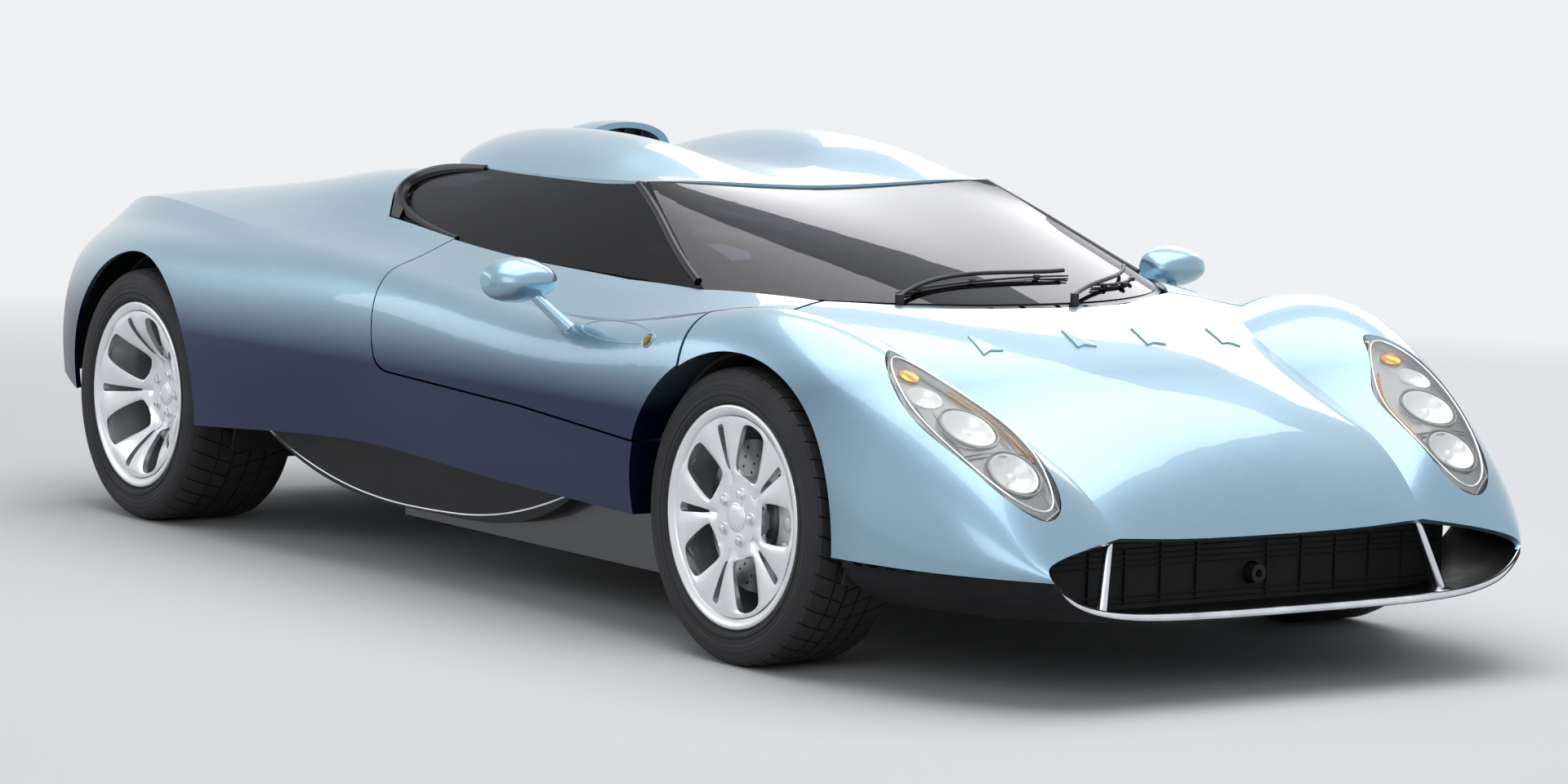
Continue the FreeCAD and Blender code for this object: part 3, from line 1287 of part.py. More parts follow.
front_arms = wishbones("front", number("footwell_half_width"), None, None)
front_arms = [largest(arm.cut(block(
    Vector(number("rear_axle"), -number("footwell_half_width"), 0),
    Vector(number("nose"), number("footwell_half_width"), number("body_height")))))
    for arm in front_arms]
rail_side = number("engine_width / 2 + rail_width")
rear_arms = wishbones("rear", number("engine_width / 2"), None,
                      number("rail_level + rail_height / 2"))
engine_space = block(
    Vector(number("-nose"), -number("engine_width / 2"), 0),
    Vector(number("front_axle"), number("engine_width / 2"), number("body_height")))
rear_arms = [largest(arm.cut(engine_space).cut(rear_rails.Shape).cut(rear_left.Shape))
             for arm in rear_arms]
arms = front_arms + rear_arms
keep("wishbones", feature("Wishbones", Part.makeCompound(arms + [over(arm) for arm in arms])))

shaft_end = "rear_wheel_face - rear_dish - spoke_depth - disc_setback - disc_depth - upright_setback"
shaft_length = f"({shaft_end} - upright_depth - engine_width / 2)"
shafts = [
    primitive("Cylinder", "ShaftLeft", "rear_axle", "engine_width / 2", "rear_tyre_radius",
              (Vector(1, 0, 0), -90), Radius="shaft_radius", Height=shaft_length),
    primitive("Cylinder", "ShaftRight", "rear_axle", "-engine_width / 2", "rear_tyre_radius",
              (Vector(1, 0, 0), 90), Radius="shaft_radius", Height=shaft_length),
]
keep("drive_shafts", grouped("DriveShafts", shafts))

# Wheel arch liners: a curved sheet over the wheel, its inner wall and a shelf to the frame


def arch_liner(end, inner, shelf_inner, wall_low, reach):
    axle = number(f"{end}_axle")
    level = number(f"{end}_tyre_radius")
    radius = number(f"{end}_arch_radius")
    liner = number("liner")
    sheet_out = number(f"{end}_wheel_middle") + number("liner_reach")
    ring = drum(radius, axle, level, inner - liner, sheet_out)
    ring = ring.cut(drum(radius - liner, axle, level, inner - 2 * liner, sheet_out + liner))
    ring = ring.cut(block(
        Vector(axle - 2 * radius, 0, 0),
        Vector(axle + 2 * radius, side_reach, level - radius * number("liner_drop_share"))))
    low = level + wall_low
    wall = block(Vector(axle - reach, inner - liner, low),
                 Vector(axle + reach, inner, number("body_height")))
    shelf = block(Vector(axle - reach, shelf_inner, low), Vector(axle + reach, inner, low + liner))
    return ring.fuse([wall, shelf])


front_liner = arch_liner("front", number("front_liner_inner"), number("footwell_half_width"),
                         number("upright_height * 0.75"), number("arm_spread * 0.7"))
front_liner = largest(front_liner.cut(clam).cut(tub.Shape))
rear_liner = arch_liner("rear", number("rear_liner_inner"), number("engine_width / 2"),
                        number("upright_height * 0.75"), number("arm_spread * 0.7"))
rear_liner = largest(rear_liner.cut(rear_clam).cut(engine_space).cut(lid))
keep("wheel_liners", feature("WheelLiners", Part.makeCompound(
    [front_liner, over(front_liner), rear_liner, over(rear_liner)])))

# Front lip and its stays

LIP_SHARES = [
    [(1.0, 0.0, 0.165), (0.998, 0.204, 0.165), (0.993, 0.408, 0.167), (0.98, 0.561, 0.178),
     (0.97, 0.643, 0.208), (0.962, 0.673, 0.246)],
    [(0.93, 0.0, 0.15), (0.93, 0.214, 0.15), (0.925, 0.429, 0.151), (0.91, 0.612, 0.16),
     (0.905, 0.694, 0.19), (0.9, 0.725, 0.243)],
    [(0.72, 0.0, 0.139), (0.72, 0.235, 0.139), (0.715, 0.48, 0.14), (0.7, 0.694, 0.15),
     (0.69, 0.79, 0.19), (0.68, 0.835, 0.244)],
    [(0.45, 0.0, 0.139), (0.45, 0.245, 0.139), (0.45, 0.51, 0.14), (0.45, 0.735, 0.15),
     (0.45, 0.85, 0.19), (0.45, 0.895, 0.244)],
]


def nose_point(ahead, side, up):
    """A point by its shares of front overhang ahead of the axle, half width and height."""
    return Vector(
        number("front_axle") + ahead * number("front_overhang"),
        side * number("half_width"),
        up * number("body_height"),
    )


lip_rows = whole_rows([[nose_point(*point) for point in row] for row in LIP_SHARES])
lip = largest(pane(lip_rows, Vector(0, 0, 1), number("lip_depth")).cut(clam))
stay_low = nose_point(0.885, 0.493, 0.14)
stay_high = nose_point(0.832, 0.437, 0.34)
stay = Part.makeCylinder(number("stay_radius"), (stay_high - stay_low).Length, stay_low,
                         stay_high - stay_low)
foot_plate = Part.makeCylinder(number("stay_radius * 2.6"), number("lip_depth"),
                               stay_low + Vector(0, 0, number("lip_depth / 2")))
stay = largest(stay.fuse(foot_plate).cut(clam).cut(lip))
lip = largest(lip.fuse([stay, over(stay)]))
keep("front_lip", feature("FrontLip", lip))

# Tail: panel, lamps, pipes and diffuser

tail_edge = number("tail_recess - nose")
panel = block(
    Vector(tail_edge, -side_reach, number("tail_panel_level")),
    Vector(number("tail_face"), side_reach, number("body_height")))
panel = min(panel.cut(skin_shell).Solids, key=lambda s: s.CenterOfMass.Length)
valance = block(
    Vector(tail_edge, -number("valance_half_width"), number("valance_level")),
    Vector(number("tail_face"), number("valance_half_width"), number("tail_panel_level")))
tow_hole = Part.makeCylinder(
    number("tow_boss_radius + shut_gap"), number("front_overhang"),
    Vector(number("tail_frame"), number("tow_offset"), number("tow_level")), Vector(-1, 0, 0))
panel = panel.fuse(valance.cut(skin_shell)).cut(tow_hole)
pipes = []
lamps = []
for side in (-1, 1):
    pipe_spot = Vector(number("exhaust_tip - nose"), side * number("exhaust_offset"),
                       number("exhaust_level"))
    long = number("rear_wall - engine_length + nose - exhaust_tip")
    pipe = Part.makeCylinder(number("exhaust_radius"), long, pipe_spot, Vector(1, 0, 0))
    panel = panel.cut(pipe)
    bore = Part.makeCylinder(number("exhaust_radius - pipe_wall"), long * 0.5, pipe_spot,
                             Vector(1, 0, 0))
    pipes.append(pipe.cut(bore))
    for offset in ("lamp_inner_offset", "lamp_outer_offset"):
        lamp_spot = Vector(tail_edge, side * number(offset), number("tail_lamp_level"))
        lamp = Part.makeCylinder(number("tail_lamp_radius"), number("tail_lamp_depth"), lamp_spot,
                                 Vector(-1, 0, 0))
        lamps.append(lamp)
panel = largest(panel)
keep("tail_panel", feature("TailPanel", panel))
keep("tail_lamps", feature("TailLamps", Part.makeCompound(lamps)))
keep("exhaust_pipes", feature("ExhaustPipes", Part.makeCompound(pipes)))

diffuser = doc.addObject("PartDesign::Body", "Diffuser")
half_diffuser = "diffuser_half_width"
slope = [
    ("tail_frame + diffuser_length", "ground_clearance"),
    ("tail_recess / 2 - nose", "diffuser_exit"),
    ("tail_recess / 2 - nose", "diffuser_exit + skin"),
    ("tail_frame + diffuser_length", "ground_clearance + skin"),
]
pad(diffuser, "Ramp", slope, f"2 * {half_diffuser}", f"-{half_diffuser}", "XZ_Plane")
for index in range(4):
    side = f"{half_diffuser} * {(2 * index - 3) / 3} - skin / 2"
    edge = f"{half_diffuser} * {(2 * index - 3) / 3} + skin / 2"
    level = f"-({edge})" if index < 3 else f"-{half_diffuser}"
    pad(diffuser, f"Fin{index}", [
        ("tail_frame + diffuser_length", "ground_clearance"),
        ("tail_recess / 2 - nose", "ground_clearance + skin * 2"),
        ("tail_recess / 2 - nose", "diffuser_exit + skin / 2"),
        ("tail_frame + diffuser_length", "ground_clearance + skin / 2"),
    ], "skin", level, "XZ_Plane")
doc.recompute()
keep("diffuser", diffuser)

# Cabin: seats, dashboard and steering wheel

SEAT_SHARES = [
    (0.0, 0.0), (-0.045, 0.2), (-0.03, 0.3), (0.12, 0.33), (0.55, 0.2), (0.66, 0.27), (0.86, 0.84),
    (0.91, 1.0), (0.985, 1.0), (1.0, 0.92), (0.83, 0.2), (0.78, 0.0),
]
seats = []
for hand, side in (("left", 1), ("right", -1)):
    seat = doc.addObject("PartDesign::Body", "Seat" + hand.title())
    near = f"{side} * seat_offset + seat_width / 2"
    pad(seat, "Squab", [
        (f"seat_front - seat_length * {back}", f"tub_top + seat_height * {up}")
        for back, up in SEAT_SHARES
    ], "seat_width", f"-({near})", "XZ_Plane")
    seats.append(seat)
keep("seats", grouped("Seats", seats))

DASH_SHARES = [
    (0.0, 0.0), (0.0, 0.86), (0.3, 1.0), (0.7, 0.94), (0.93, 0.55), (1.0, 0.0), (0.93, -0.55),
    (0.72, -0.75), (0.62, -0.75),
]
dash = doc.addObject("PartDesign::Body", "Dashboard")
dash_front = "(front_axle - dash_setback)"
dash_points = [
    (f"{dash_front} - dash_length * {back}", f"footwell_top + dash_height * {up}")
    for back, up in DASH_SHARES
]
dash_points += [("dash_wall - tub_wall", "footwell_top - dash_height * 0.75"),
                ("dash_wall - tub_wall", "footwell_top")]
pad(dash, "Fascia", dash_points, "2 * dash_half_width", "-dash_half_width", "XZ_Plane")
for label, side in (("Left", 1), ("Right", -1)):
    pocket(dash, "Shoulder" + label, [
        (f"{dash_front} + overrun", f"{side} * dash_nose_half_width"),
        (f"{dash_front} - dash_shoulder", f"{side} * dash_nose_half_width"),
        (f"{dash_front} - dash_shoulder", f"{side} * (dash_half_width + overrun)"),
        (f"{dash_front} + overrun", f"{side} * (dash_half_width + overrun)"),
    ], "dash_height * 4", "footwell_top - dash_height * 2", backwards=True)
column_turn = (Vector(0, 1, 0), -68)
column = primitive(
    "Cylinder", "Column", "wheel_rim_x + column_length * cos(22)", "-wheel_rim_offset",
    "wheel_rim_level - column_length * sin(22)", column_turn, Radius="column_radius",
    Height="column_length - wheel_hub_depth - seat_gap")
dash_piece = fused("DashAndColumn", [dash, column])
keep("dashboard", dash_piece)

grip = primitive("Torus", "Grip", "wheel_rim_x", "-wheel_rim_offset", "wheel_rim_level",
                 column_turn, Radius1="steering_wheel_radius", Radius2="steering_grip_radius")
hub = primitive(
    "Cylinder", "WheelHub", "wheel_rim_x + wheel_hub_depth * cos(22)", "-wheel_rim_offset",
    "wheel_rim_level - wheel_hub_depth * sin(22)", column_turn, Radius="column_radius * 1.5",
    Height="wheel_hub_depth")
spokes = []
for index, angle in enumerate((90, -90, 180)):
    spoke = doc.addObject("Part::Box", f"WheelSpoke{index}")
    tie(spoke, Length="steering_wheel_radius", Width="column_radius * 1.4",
        Height="steering_grip_radius / 2")
    lift = Placement(Vector(0, -number("column_radius") * 0.7, -number("steering_grip_radius") / 2),
                     Rotation())
    spin = Placement(Vector(), Rotation(Vector(0, 0, 1), angle))
    stand = Placement(Vector(number("wheel_rim_x"), -number("wheel_rim_offset"),
                             number("wheel_rim_level")), Rotation(*column_turn))
    spoke.Placement = stand.multiply(spin).multiply(lift)
    spokes.append(spoke)
keep("steering_wheel", fused("SteeringWheel", [grip, hub] + spokes))

# Canopy hinge: lugs on the tub that carry the pin through the canopy's barrels

hinge_parts = []
for side in (-1, 1):
    for way in (-1, 1):
        middle = side * number("hinge_spread")
        lug_low = middle + way * (number("hinge_barrel_length / 2 + seat_gap"))
        lug_high = lug_low + way * number("hinge_lug")
        low_y, high_y = sorted((lug_low, lug_high))
        lug = block(
            Vector(hinge_x - number("hinge_barrel_radius * 1.2"), low_y, number("footwell_top")),
            Vector(hinge_x + number("hinge_barrel_radius * 1.2"), high_y, hinge_level))
        eye = drum(number("hinge_barrel_radius * 1.2"), hinge_x, hinge_level, low_y, high_y)
        hinge_parts += [lug.fuse(eye)]
pins = []
for side in (-1, 1):
    middle = side * number("hinge_spread")
    half_long = number("hinge_barrel_length / 2 + hinge_lug / 2")
    pins.append(drum(number("hinge_pin_radius"), hinge_x, hinge_level, middle - half_long,
                     middle + half_long))
lugs = []
for index, pin in enumerate(pins):
    lugs.append(pin.fuse(hinge_parts[2 * index:2 * index + 2]))
keep("floor_tub", fused("TubWithLugs", [tub, feature("HingeLugLeft", lugs[0]),
                                      feature("HingeLugRight", lugs[1])]))

# Headlamps: tinted bowls under the clamshell, closed by covers flush with its surface

LAMP_SLOPE_SHARES = [(-0.09, 0.5), (-0.3, 0.3)]
slope_low = [spot(back, 0, up) for back, up in LAMP_SLOPE_SHARES]
top_level = number("body_height")
under_points = slope_low + [Vector(slope_low[1].x, 0, top_level),
                            Vector(slope_low[0].x, 0, top_level)]
wall = number("lamp_wall")


def under_skin(tool):
    """The part of a tool that lies below the clamshell's skin."""
    return min(tool.cut(skin_shell).Solids, key=lambda solid: solid.CenterOfMass.z)


lamp_space = under_skin(lamp_tool(1.05)).common(side_tool(under_points))
bowl = lamp_space.fuse(skin_shell.common(lamp_tool(0.985)).cut(lens_shell))
hollow = under_skin(lamp_tool(0.95)).common(
    side_tool(shifted(under_points, Vector(0, 0, wall))))
lamp_bowl = largest(bowl.cut(hollow).cut(front_arch("front_arch_radius + seat_gap")))
keep("headlamp_bowls", feature("HeadlampBowls", Part.makeCompound([lamp_bowl, over(lamp_bowl)])))
cover = largest(lens_shell.common(lamp_tool(0.985)))
keep("headlamp_covers", feature("HeadlampCovers", Part.makeCompound([cover, over(cover)])))

# Radiator across the nose, between the headlamp bowls

core = block(
    Vector(number("nose_frame"), -number("radiator_half_width"), number("tub_top")),
    Vector(number("nose_frame + radiator_depth"), number("radiator_half_width"),
           number("footwell_top")))
for tool in (skin_shell, lip, front_rails.Shape, lamp_space, over(lamp_space)):
    core = core.cut(tool)
tow_path = Part.makeCylinder(
    number("tow_boss_radius + shut_gap"), number("front_overhang"),
    Vector(number("nose_frame - overrun"), number("tow_offset"), number("tow_level")),
    Vector(1, 0, 0))
keep("radiator", feature("Radiator", largest(core.cut(tow_path))))

# Side skirt blades under the sills

SKIRT_SHARES = [
    (0.264, 0.272), (0.366, 0.176), (0.502, 0.157), (0.604, 0.157), (0.709, 0.188), (0.792, 0.247),
    (0.83, 0.285),
]
lower = [spot(back, 0, up) for back, up in SKIRT_SHARES]
for point in lower:
    point.y = number("tub_half_width")
sag = Part.BSplineCurve()
sag.interpolate(lower)
top_line = number("skirt_top")
corners = [lower[-1], Vector(lower[-1].x, lower[-1].y, top_line),
           Vector(lower[0].x, lower[0].y, top_line), lower[0]]
edges = [sag.toShape()] + [Part.LineSegment(a, b).toShape() for a, b in zip(corners, corners[1:])]
blade = Part.Face(Part.Wire(edges)).extrude(Vector(0, number("blade_depth"), 0))
blade = largest(blade.cut(sill).cut(rear_clam))
keep("skirt_blades", feature("SkirtBlades", Part.makeCompound([blade, over(blade)])))

# Every object and sub-part is checked before anything is written

doc.recompute()
for thing in doc.Objects:
    if "Invalid" in thing.State or "Error" in thing.State:
        raise RuntimeError(f"{thing.Name} did not compute")
for name, thing in nodes.items():
    if thing.Shape.isNull() or not thing.Shape.isValid():
        raise RuntimeError(f"{name} has no valid shape")
os.makedirs("parts", exist_ok=True)
for name, thing in nodes.items():
    thing.Shape.exportStep(f"parts/{name}.step")
    print(name, len(thing.Shape.Solids), round(thing.Shape.Volume / 1e6, 2))
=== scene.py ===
import math

import bmesh
import bpy
from mathutils import Matrix, Vector


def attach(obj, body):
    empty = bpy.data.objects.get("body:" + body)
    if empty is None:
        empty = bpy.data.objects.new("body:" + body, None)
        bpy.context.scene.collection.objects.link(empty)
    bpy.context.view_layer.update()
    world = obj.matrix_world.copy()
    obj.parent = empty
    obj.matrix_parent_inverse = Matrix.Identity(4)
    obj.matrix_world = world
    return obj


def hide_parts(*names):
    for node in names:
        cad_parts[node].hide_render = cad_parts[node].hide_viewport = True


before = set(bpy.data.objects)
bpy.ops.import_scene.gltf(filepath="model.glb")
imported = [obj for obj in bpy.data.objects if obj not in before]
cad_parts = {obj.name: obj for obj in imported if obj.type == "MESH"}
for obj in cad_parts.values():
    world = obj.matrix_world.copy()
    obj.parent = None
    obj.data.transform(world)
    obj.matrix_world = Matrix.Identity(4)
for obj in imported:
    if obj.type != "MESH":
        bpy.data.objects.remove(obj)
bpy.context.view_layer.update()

bl_info = {
    "name": "Supercar",
    "version": (1, 0, 0),
    "blender": (4, 5, 0),
    "location": "3D View > Sidebar > Supercar",
    "description": "Builds the visible pieces of a low mid-engined car around its packed frame",
    "category": "Object",
}

# Stations of the body, in metres. X points forward, Y to the car's left and Z up.
FRONT_AXLE = 1.157
REAR_AXLE = -1.493
WHEELBASE = FRONT_AXLE - REAR_AXLE
HALF_WIDTH = 0.98
HEIGHT = 1.08
UP = Vector((0, 0, 1))
LEFT = Vector((0, 1, 0))
AHEAD = Vector((1, 0, 0))

SIDES = (("left", 1), ("right", -1))
WHEELS = {
    "front": {"axle": FRONT_AXLE, "radius": 0.322, "tyre": 0.238, "rim": 0.228, "dish": 0.016,
              "face": 0.895},
    "rear": {"axle": REAR_AXLE, "radius": 0.329, "tyre": 0.312, "rim": 0.300, "dish": 0.088,
             "face": 0.935},
}
FLANGE = 0.243
BEAD = 0.229


def sided(line, side):
    """Points given for the left side, on the left (1) or the right (-1)."""
    return [Vector((x, side * y, z)) for x, y, z in line]


# Selecting, shaping and finishing

def only(*pieces):
    """Selects these pieces and nothing else, in object mode."""
    if bpy.context.mode != "OBJECT":
        bpy.ops.object.mode_set(mode="OBJECT")
    bpy.ops.object.select_all(action="DESELECT")
    for piece in pieces:
        piece.select_set(True)
    if pieces:
        bpy.context.view_layer.objects.active = pieces[0]


def editing(piece, everything=True):
    only(piece)
    bpy.ops.object.mode_set(mode="EDIT")
    bpy.ops.mesh.select_all(action="SELECT" if everything else "DESELECT")


def pick(piece, test, kind="FACE"):
    """Selects the faces, edges or vertices that pass a test, in edit mode."""
    bpy.ops.mesh.select_mode(type=kind)
    bpy.ops.mesh.select_all(action="DESELECT")
    mesh = bmesh.from_edit_mesh(piece.data)
    for item in {"FACE": mesh.faces, "EDGE": mesh.edges, "VERT": mesh.verts}[kind]:
        if test(item):
            item.select_set(True)
    mesh.select_flush_mode()
    bmesh.update_edit_mesh(piece.data)


def added(name):
    """Names the object that an operator has just added."""
    piece = bpy.context.object
    piece.name = name
    piece.data.name = name
    return piece


def settled(piece):
    """Puts a piece's place, turn and size into its mesh."""
    only(piece)
    bpy.ops.object.transform_apply(location=True, rotation=True, scale=True)
    return piece


def plate(name, points):
    """A flat face whose corners lie at the given points."""
    only()
    bpy.ops.mesh.primitive_circle_add(vertices=len(points), radius=1, fill_type="NGON")
    piece = added(name)
    for vertex, point in zip(piece.data.vertices, points):
        vertex.co = point
    return piece


def prism(name, points, way):
    """A straight-sided block over a flat outline."""
    piece = plate(name, points)
    editing(piece)
    bpy.ops.mesh.extrude_region_move(TRANSFORM_OT_translate={"value": way})
    bpy.ops.mesh.select_all(action="SELECT")
    bpy.ops.mesh.normals_make_consistent(inside=False)
    only(piece)
    return piece


def turned(name, profile, steps=96, angle=math.tau):
    """A ring turned about the Y axis from an outline of radius and distance outwards.

    An outline that starts and ends on the axis gives a solid round piece.
    """
    points = [(radius, out, 0) for radius, out in profile]
    piece = plate(name, points)
    editing(piece)
    if angle == math.tau:
        bpy.ops.mesh.delete(type="ONLY_FACE")
    if profile[0][0] == 0:
        pick(piece, lambda edge: {v.index for v in edge.verts} == {0, len(points) - 1}, "EDGE")
        bpy.ops.mesh.delete(type="EDGE")
    bpy.ops.mesh.select_all(action="SELECT")
    bpy.ops.mesh.spin(steps=steps, angle=angle, center=(0, 0, 0), axis=(0, 1, 0))
    bpy.ops.mesh.select_all(action="SELECT")
    bpy.ops.mesh.remove_doubles(threshold=0.00005)
    bpy.ops.mesh.normals_make_consistent(inside=False)
    only(piece)
    return piece


def rod(name, start, end, radius, sides=16, tip=None):
    """A round bar from start to end, narrowing to the tip's radius where one is given."""
    start, end = Vector(start), Vector(end)
    way = end - start
    only()
    bpy.ops.mesh.primitive_cone_add(
        vertices=sides, radius1=radius, radius2=radius if tip is None else tip,
        depth=way.length, location=(start + end) / 2,
        rotation=way.to_track_quat("Z", "Y").to_euler())
    return settled(added(name))


def bar(name, middle, size, soft=0.002, turn=(0, 0, 0)):
    """A block with rounded edges."""
    only()
    bpy.ops.mesh.primitive_cube_add(size=1, location=middle, rotation=turn, scale=size)
    piece = settled(added(name))
    return bevelled(piece, soft) if soft else piece


def modified(piece, kind, **settings):
    """Adds a modifier and applies it."""
    only(piece)
    step = piece.modifiers.new(kind.title(), kind)
    for setting, value in settings.items():
        setattr(step, setting, value)
    bpy.ops.object.modifier_apply(modifier=step.name)
    return piece


def bevelled(piece, width, segments=2, angle=40):
    return modified(piece, "BEVEL", width=width, segments=segments, limit_method="ANGLE",
                    angle_limit=math.radians(angle))


def removed(piece):
    mesh = piece.data
    bpy.data.objects.remove(piece)
    if mesh.users == 0 and isinstance(mesh, bpy.types.Mesh):
        bpy.data.meshes.remove(mesh)


def joined(name, pieces):
    only(*pieces)
    if len(pieces) > 1:
        bpy.ops.object.join()
    return added(name)


def duplicate(piece, name):
    """A copy with its own mesh."""
    other = piece.copy()
    other.data = piece.data.copy()
    bpy.context.scene.collection.objects.link(other)
    other.name = name
    other.data.name = name
    return other


def moved(piece, way):
    piece.data.transform(Matrix.Translation(Vector(way)))
    return piece


def spun(piece, angle, axis="Y", middle=(0, 0, 0)):
    """Turns a piece's mesh about an axis through a point."""
    middle = Vector(middle)
    turn = Matrix.Rotation(angle, 4, axis)
    piece.data.transform(Matrix.Translation(middle) @ turn @ Matrix.Translation(-middle))
    return piece


def mirrored(piece, across=LEFT):
    piece.data.transform(Matrix.Scale(-1, 4, across))
    piece.data.flip_normals()
    return piece


def other_side(piece, name):
    """The same piece on the other side of the car."""
    return mirrored(duplicate(piece, name))


def repeated(piece, count, axis="Y", middle=(0, 0, 0)):
    """Copies a piece evenly around an axis and joins the ring."""
    ring = [piece]
    for step in range(1, count):
        ring.append(spun(duplicate(piece, piece.name), math.tau * step / count, axis, middle))
    return joined(piece.name, ring)


def as_mesh(name, data):
    """A mesh made from a curve's data."""
    piece = bpy.data.objects.new(name, data)
    bpy.context.scene.collection.objects.link(piece)
    only(piece)
    bpy.ops.object.convert(target="MESH")
    return added(name)


def wire(name, points, radius, smooth=True, closed=False, sides=3, taper=None):
    """A tube along a smooth line near the given points, as a mesh."""
    data = bpy.data.curves.new(name, "CURVE")
    data.dimensions = "3D"
    line = data.splines.new("NURBS")
    line.points.add(len(points) - 1)
    for control, point in zip(line.points, points):
        control.co = (*point, 1)
    for control, width in zip(line.points, taper or ()):
        control.radius = width
    line.order_u = 4 if smooth else 2
    line.use_cyclic_u = closed
    line.use_endpoint_u = not closed
    line.resolution_u = 8 if smooth else 1
    data.bevel_depth = radius
    data.bevel_resolution = sides
    data.use_fill_caps = True
    return as_mesh(name, data)


def level_at(node, x, y):
    """The height of a node's upper face at a place, at rest."""
    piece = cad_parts[node]
    struck, place = piece.ray_cast(Vector((x, y, 3)), -UP)[:2]
    if not struck:
        raise RuntimeError(f"{node} has nothing at {x:.3f}, {y:.3f}")
    return place.z


def side_at(node, x, z, side=1):
    """How far out a node reaches at a place, at rest."""
    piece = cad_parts[node]
    struck, place = piece.ray_cast(Vector((x, side * 3, z)), LEFT * -side)[:2]
    if not struck:
        raise RuntimeError(f"{node} has nothing at {x:.3f}, {z:.3f}")
    return place.y


def done(piece, body, slot, *nodes, angle=35, material=None):
    """Shades a finished piece, gives it its material and sets it on its body."""
    only(piece)
    if angle:
        bpy.ops.object.shade_smooth_by_angle(angle=math.radians(angle))
    piece.data.materials.clear()
    piece.data.materials.append(FINISHES[material or slot])
    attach(piece, body)
    if nodes:
        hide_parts(*nodes)
    return piece


def gathered(name, parts, slot, *nodes, body="chassis", **looks):
    """Joins parts into one finished piece."""
    return done(joined(name, parts), body, slot, *nodes, **looks)


# Shapes that several pieces share

def net(name, rows):
    """A sheet of four-sided faces over rows of points."""
    only()
    bpy.ops.mesh.primitive_grid_add(x_subdivisions=len(rows[0]) - 1, y_subdivisions=len(rows) - 1)
    piece = added(name)
    for vertex, point in zip(piece.data.vertices, [point for row in rows for point in row]):
        vertex.co = point
    return piece


def facing(piece, way):
    """Turns an open sheet so that its faces look the given way."""
    lean = sum((face.normal * face.area for face in piece.data.polygons), Vector())
    if lean.dot(Vector(way)) < 0:
        piece.data.flip_normals()
    return piece


def merged(piece, reach=0.0001, outwards=True):
    editing(piece)
    bpy.ops.mesh.remove_doubles(threshold=reach)
    if outwards:
        bpy.ops.mesh.normals_make_consistent(inside=False)
    only(piece)
    return piece


def thickened(piece, depth, way, soft=0.0, smooth=0):
    """Gives a sheet its thickness behind the face that looks the given way."""
    facing(piece, way)
    modified(piece, "SOLIDIFY", thickness=depth, offset=-1, use_even_offset=True)
    if soft:
        bevelled(piece, soft, 2, 50)
    if smooth:
        modified(piece, "SUBSURF", levels=smooth, render_levels=smooth)
    return piece


def circle(middle, radius, count, start=0.0):
    """Points around a circle in a plane."""
    return [(middle[0] + radius * math.cos(start + math.tau * step / count),
             middle[1] + radius * math.sin(start + math.tau * step / count))
            for step in range(count)]


def perforated(name, outline, holes, thick):
    """A flat plate in X and Y with holes through it, centred on the plane."""
    data = bpy.data.curves.new(name, "CURVE")
    data.dimensions = "2D"
    data.fill_mode = "BOTH"
    data.extrude = thick / 2
    for ring in (outline, *holes):
        line = data.splines.new("POLY")
        line.points.add(len(ring) - 1)
        for control, (across, along) in zip(line.points, ring):
            control.co = (across, along, 0, 1)
        line.use_cyclic_u = True
    return merged(as_mesh(name, data), 0.00002)


def aimed(piece, place, way):
    """Turns a piece made along Y so that it looks the given way, and puts it in place."""
    turn = Vector(way).to_track_quat("Y", "Z").to_matrix().to_4x4()
    piece.data.transform(Matrix.Translation(Vector(place)) @ turn)
    return piece


def copied(node, name):
    """A merged copy of a carried-over piece."""
    piece = bpy.data.objects.new(name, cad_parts[node].data.copy())
    piece.data.name = name
    bpy.context.scene.collection.objects.link(piece)
    return merged(piece, 0.00001, outwards=False)


def ease(share):
    share = min(max(share, 0), 1)
    return share * share * (3 - 2 * share)


# Materials

FINISHES = {}
# The paint goes from its painted shade, dark low on the flanks, to its own colour between these
# heights and these stations.
SHADE_FADE_HEIGHT = (0.52, 0.68)
SHADE_FADE_NOSE = (1.10, 1.60)
FLAKE_SHARE = 0.25


def blank(name, sockets):
    material = bpy.data.materials.new(name)
    material.use_nodes = True
    tree = material.node_tree
    shader = tree.nodes["Principled BSDF"]
    for socket, value in sockets.items():
        shader.inputs[socket].default_value = value
    place = tree.nodes.new("ShaderNodeTexCoord")
    return material, tree, shader, place.outputs["Object"]


def stretched(tree, source, scale):
    mapping = tree.nodes.new("ShaderNodeMapping")
    mapping.inputs["Scale"].default_value = scale
    tree.links.new(source, mapping.inputs["Vector"])
    return mapping.outputs["Vector"]


def cloud(tree, source, scale, detail=3):
    texture = tree.nodes.new("ShaderNodeTexNoise")
    texture.inputs["Scale"].default_value = scale
    texture.inputs["Detail"].default_value = detail
    tree.links.new(source, texture.inputs["Vector"])
    return texture.outputs["Fac"]


def cells(tree, source, scale, output="Distance", feature="F1"):
    texture = tree.nodes.new("ShaderNodeTexVoronoi")
    texture.feature = feature
    texture.inputs["Scale"].default_value = scale
    tree.links.new(source, texture.inputs["Vector"])
    return texture.outputs[output]


def fed(tree, socket, value):
    """Links a socket to another one, or sets its value."""
    if isinstance(value, bpy.types.NodeSocket):
        tree.links.new(value, socket)
    elif isinstance(value, float):
        socket.default_value = value
    else:
        socket.default_value = (*value, 1)


def between(tree, factor, low, high, blend="MIX"):
    """A colour between two, by a factor."""
    mix = tree.nodes.new("ShaderNodeMix")
    mix.data_type = "RGBA"
    mix.blend_type = blend
    for socket, value in (("Factor", factor), ("A", low), ("B", high)):
        fed(tree, mix.inputs[socket], value)
    return mix.outputs["Result"]


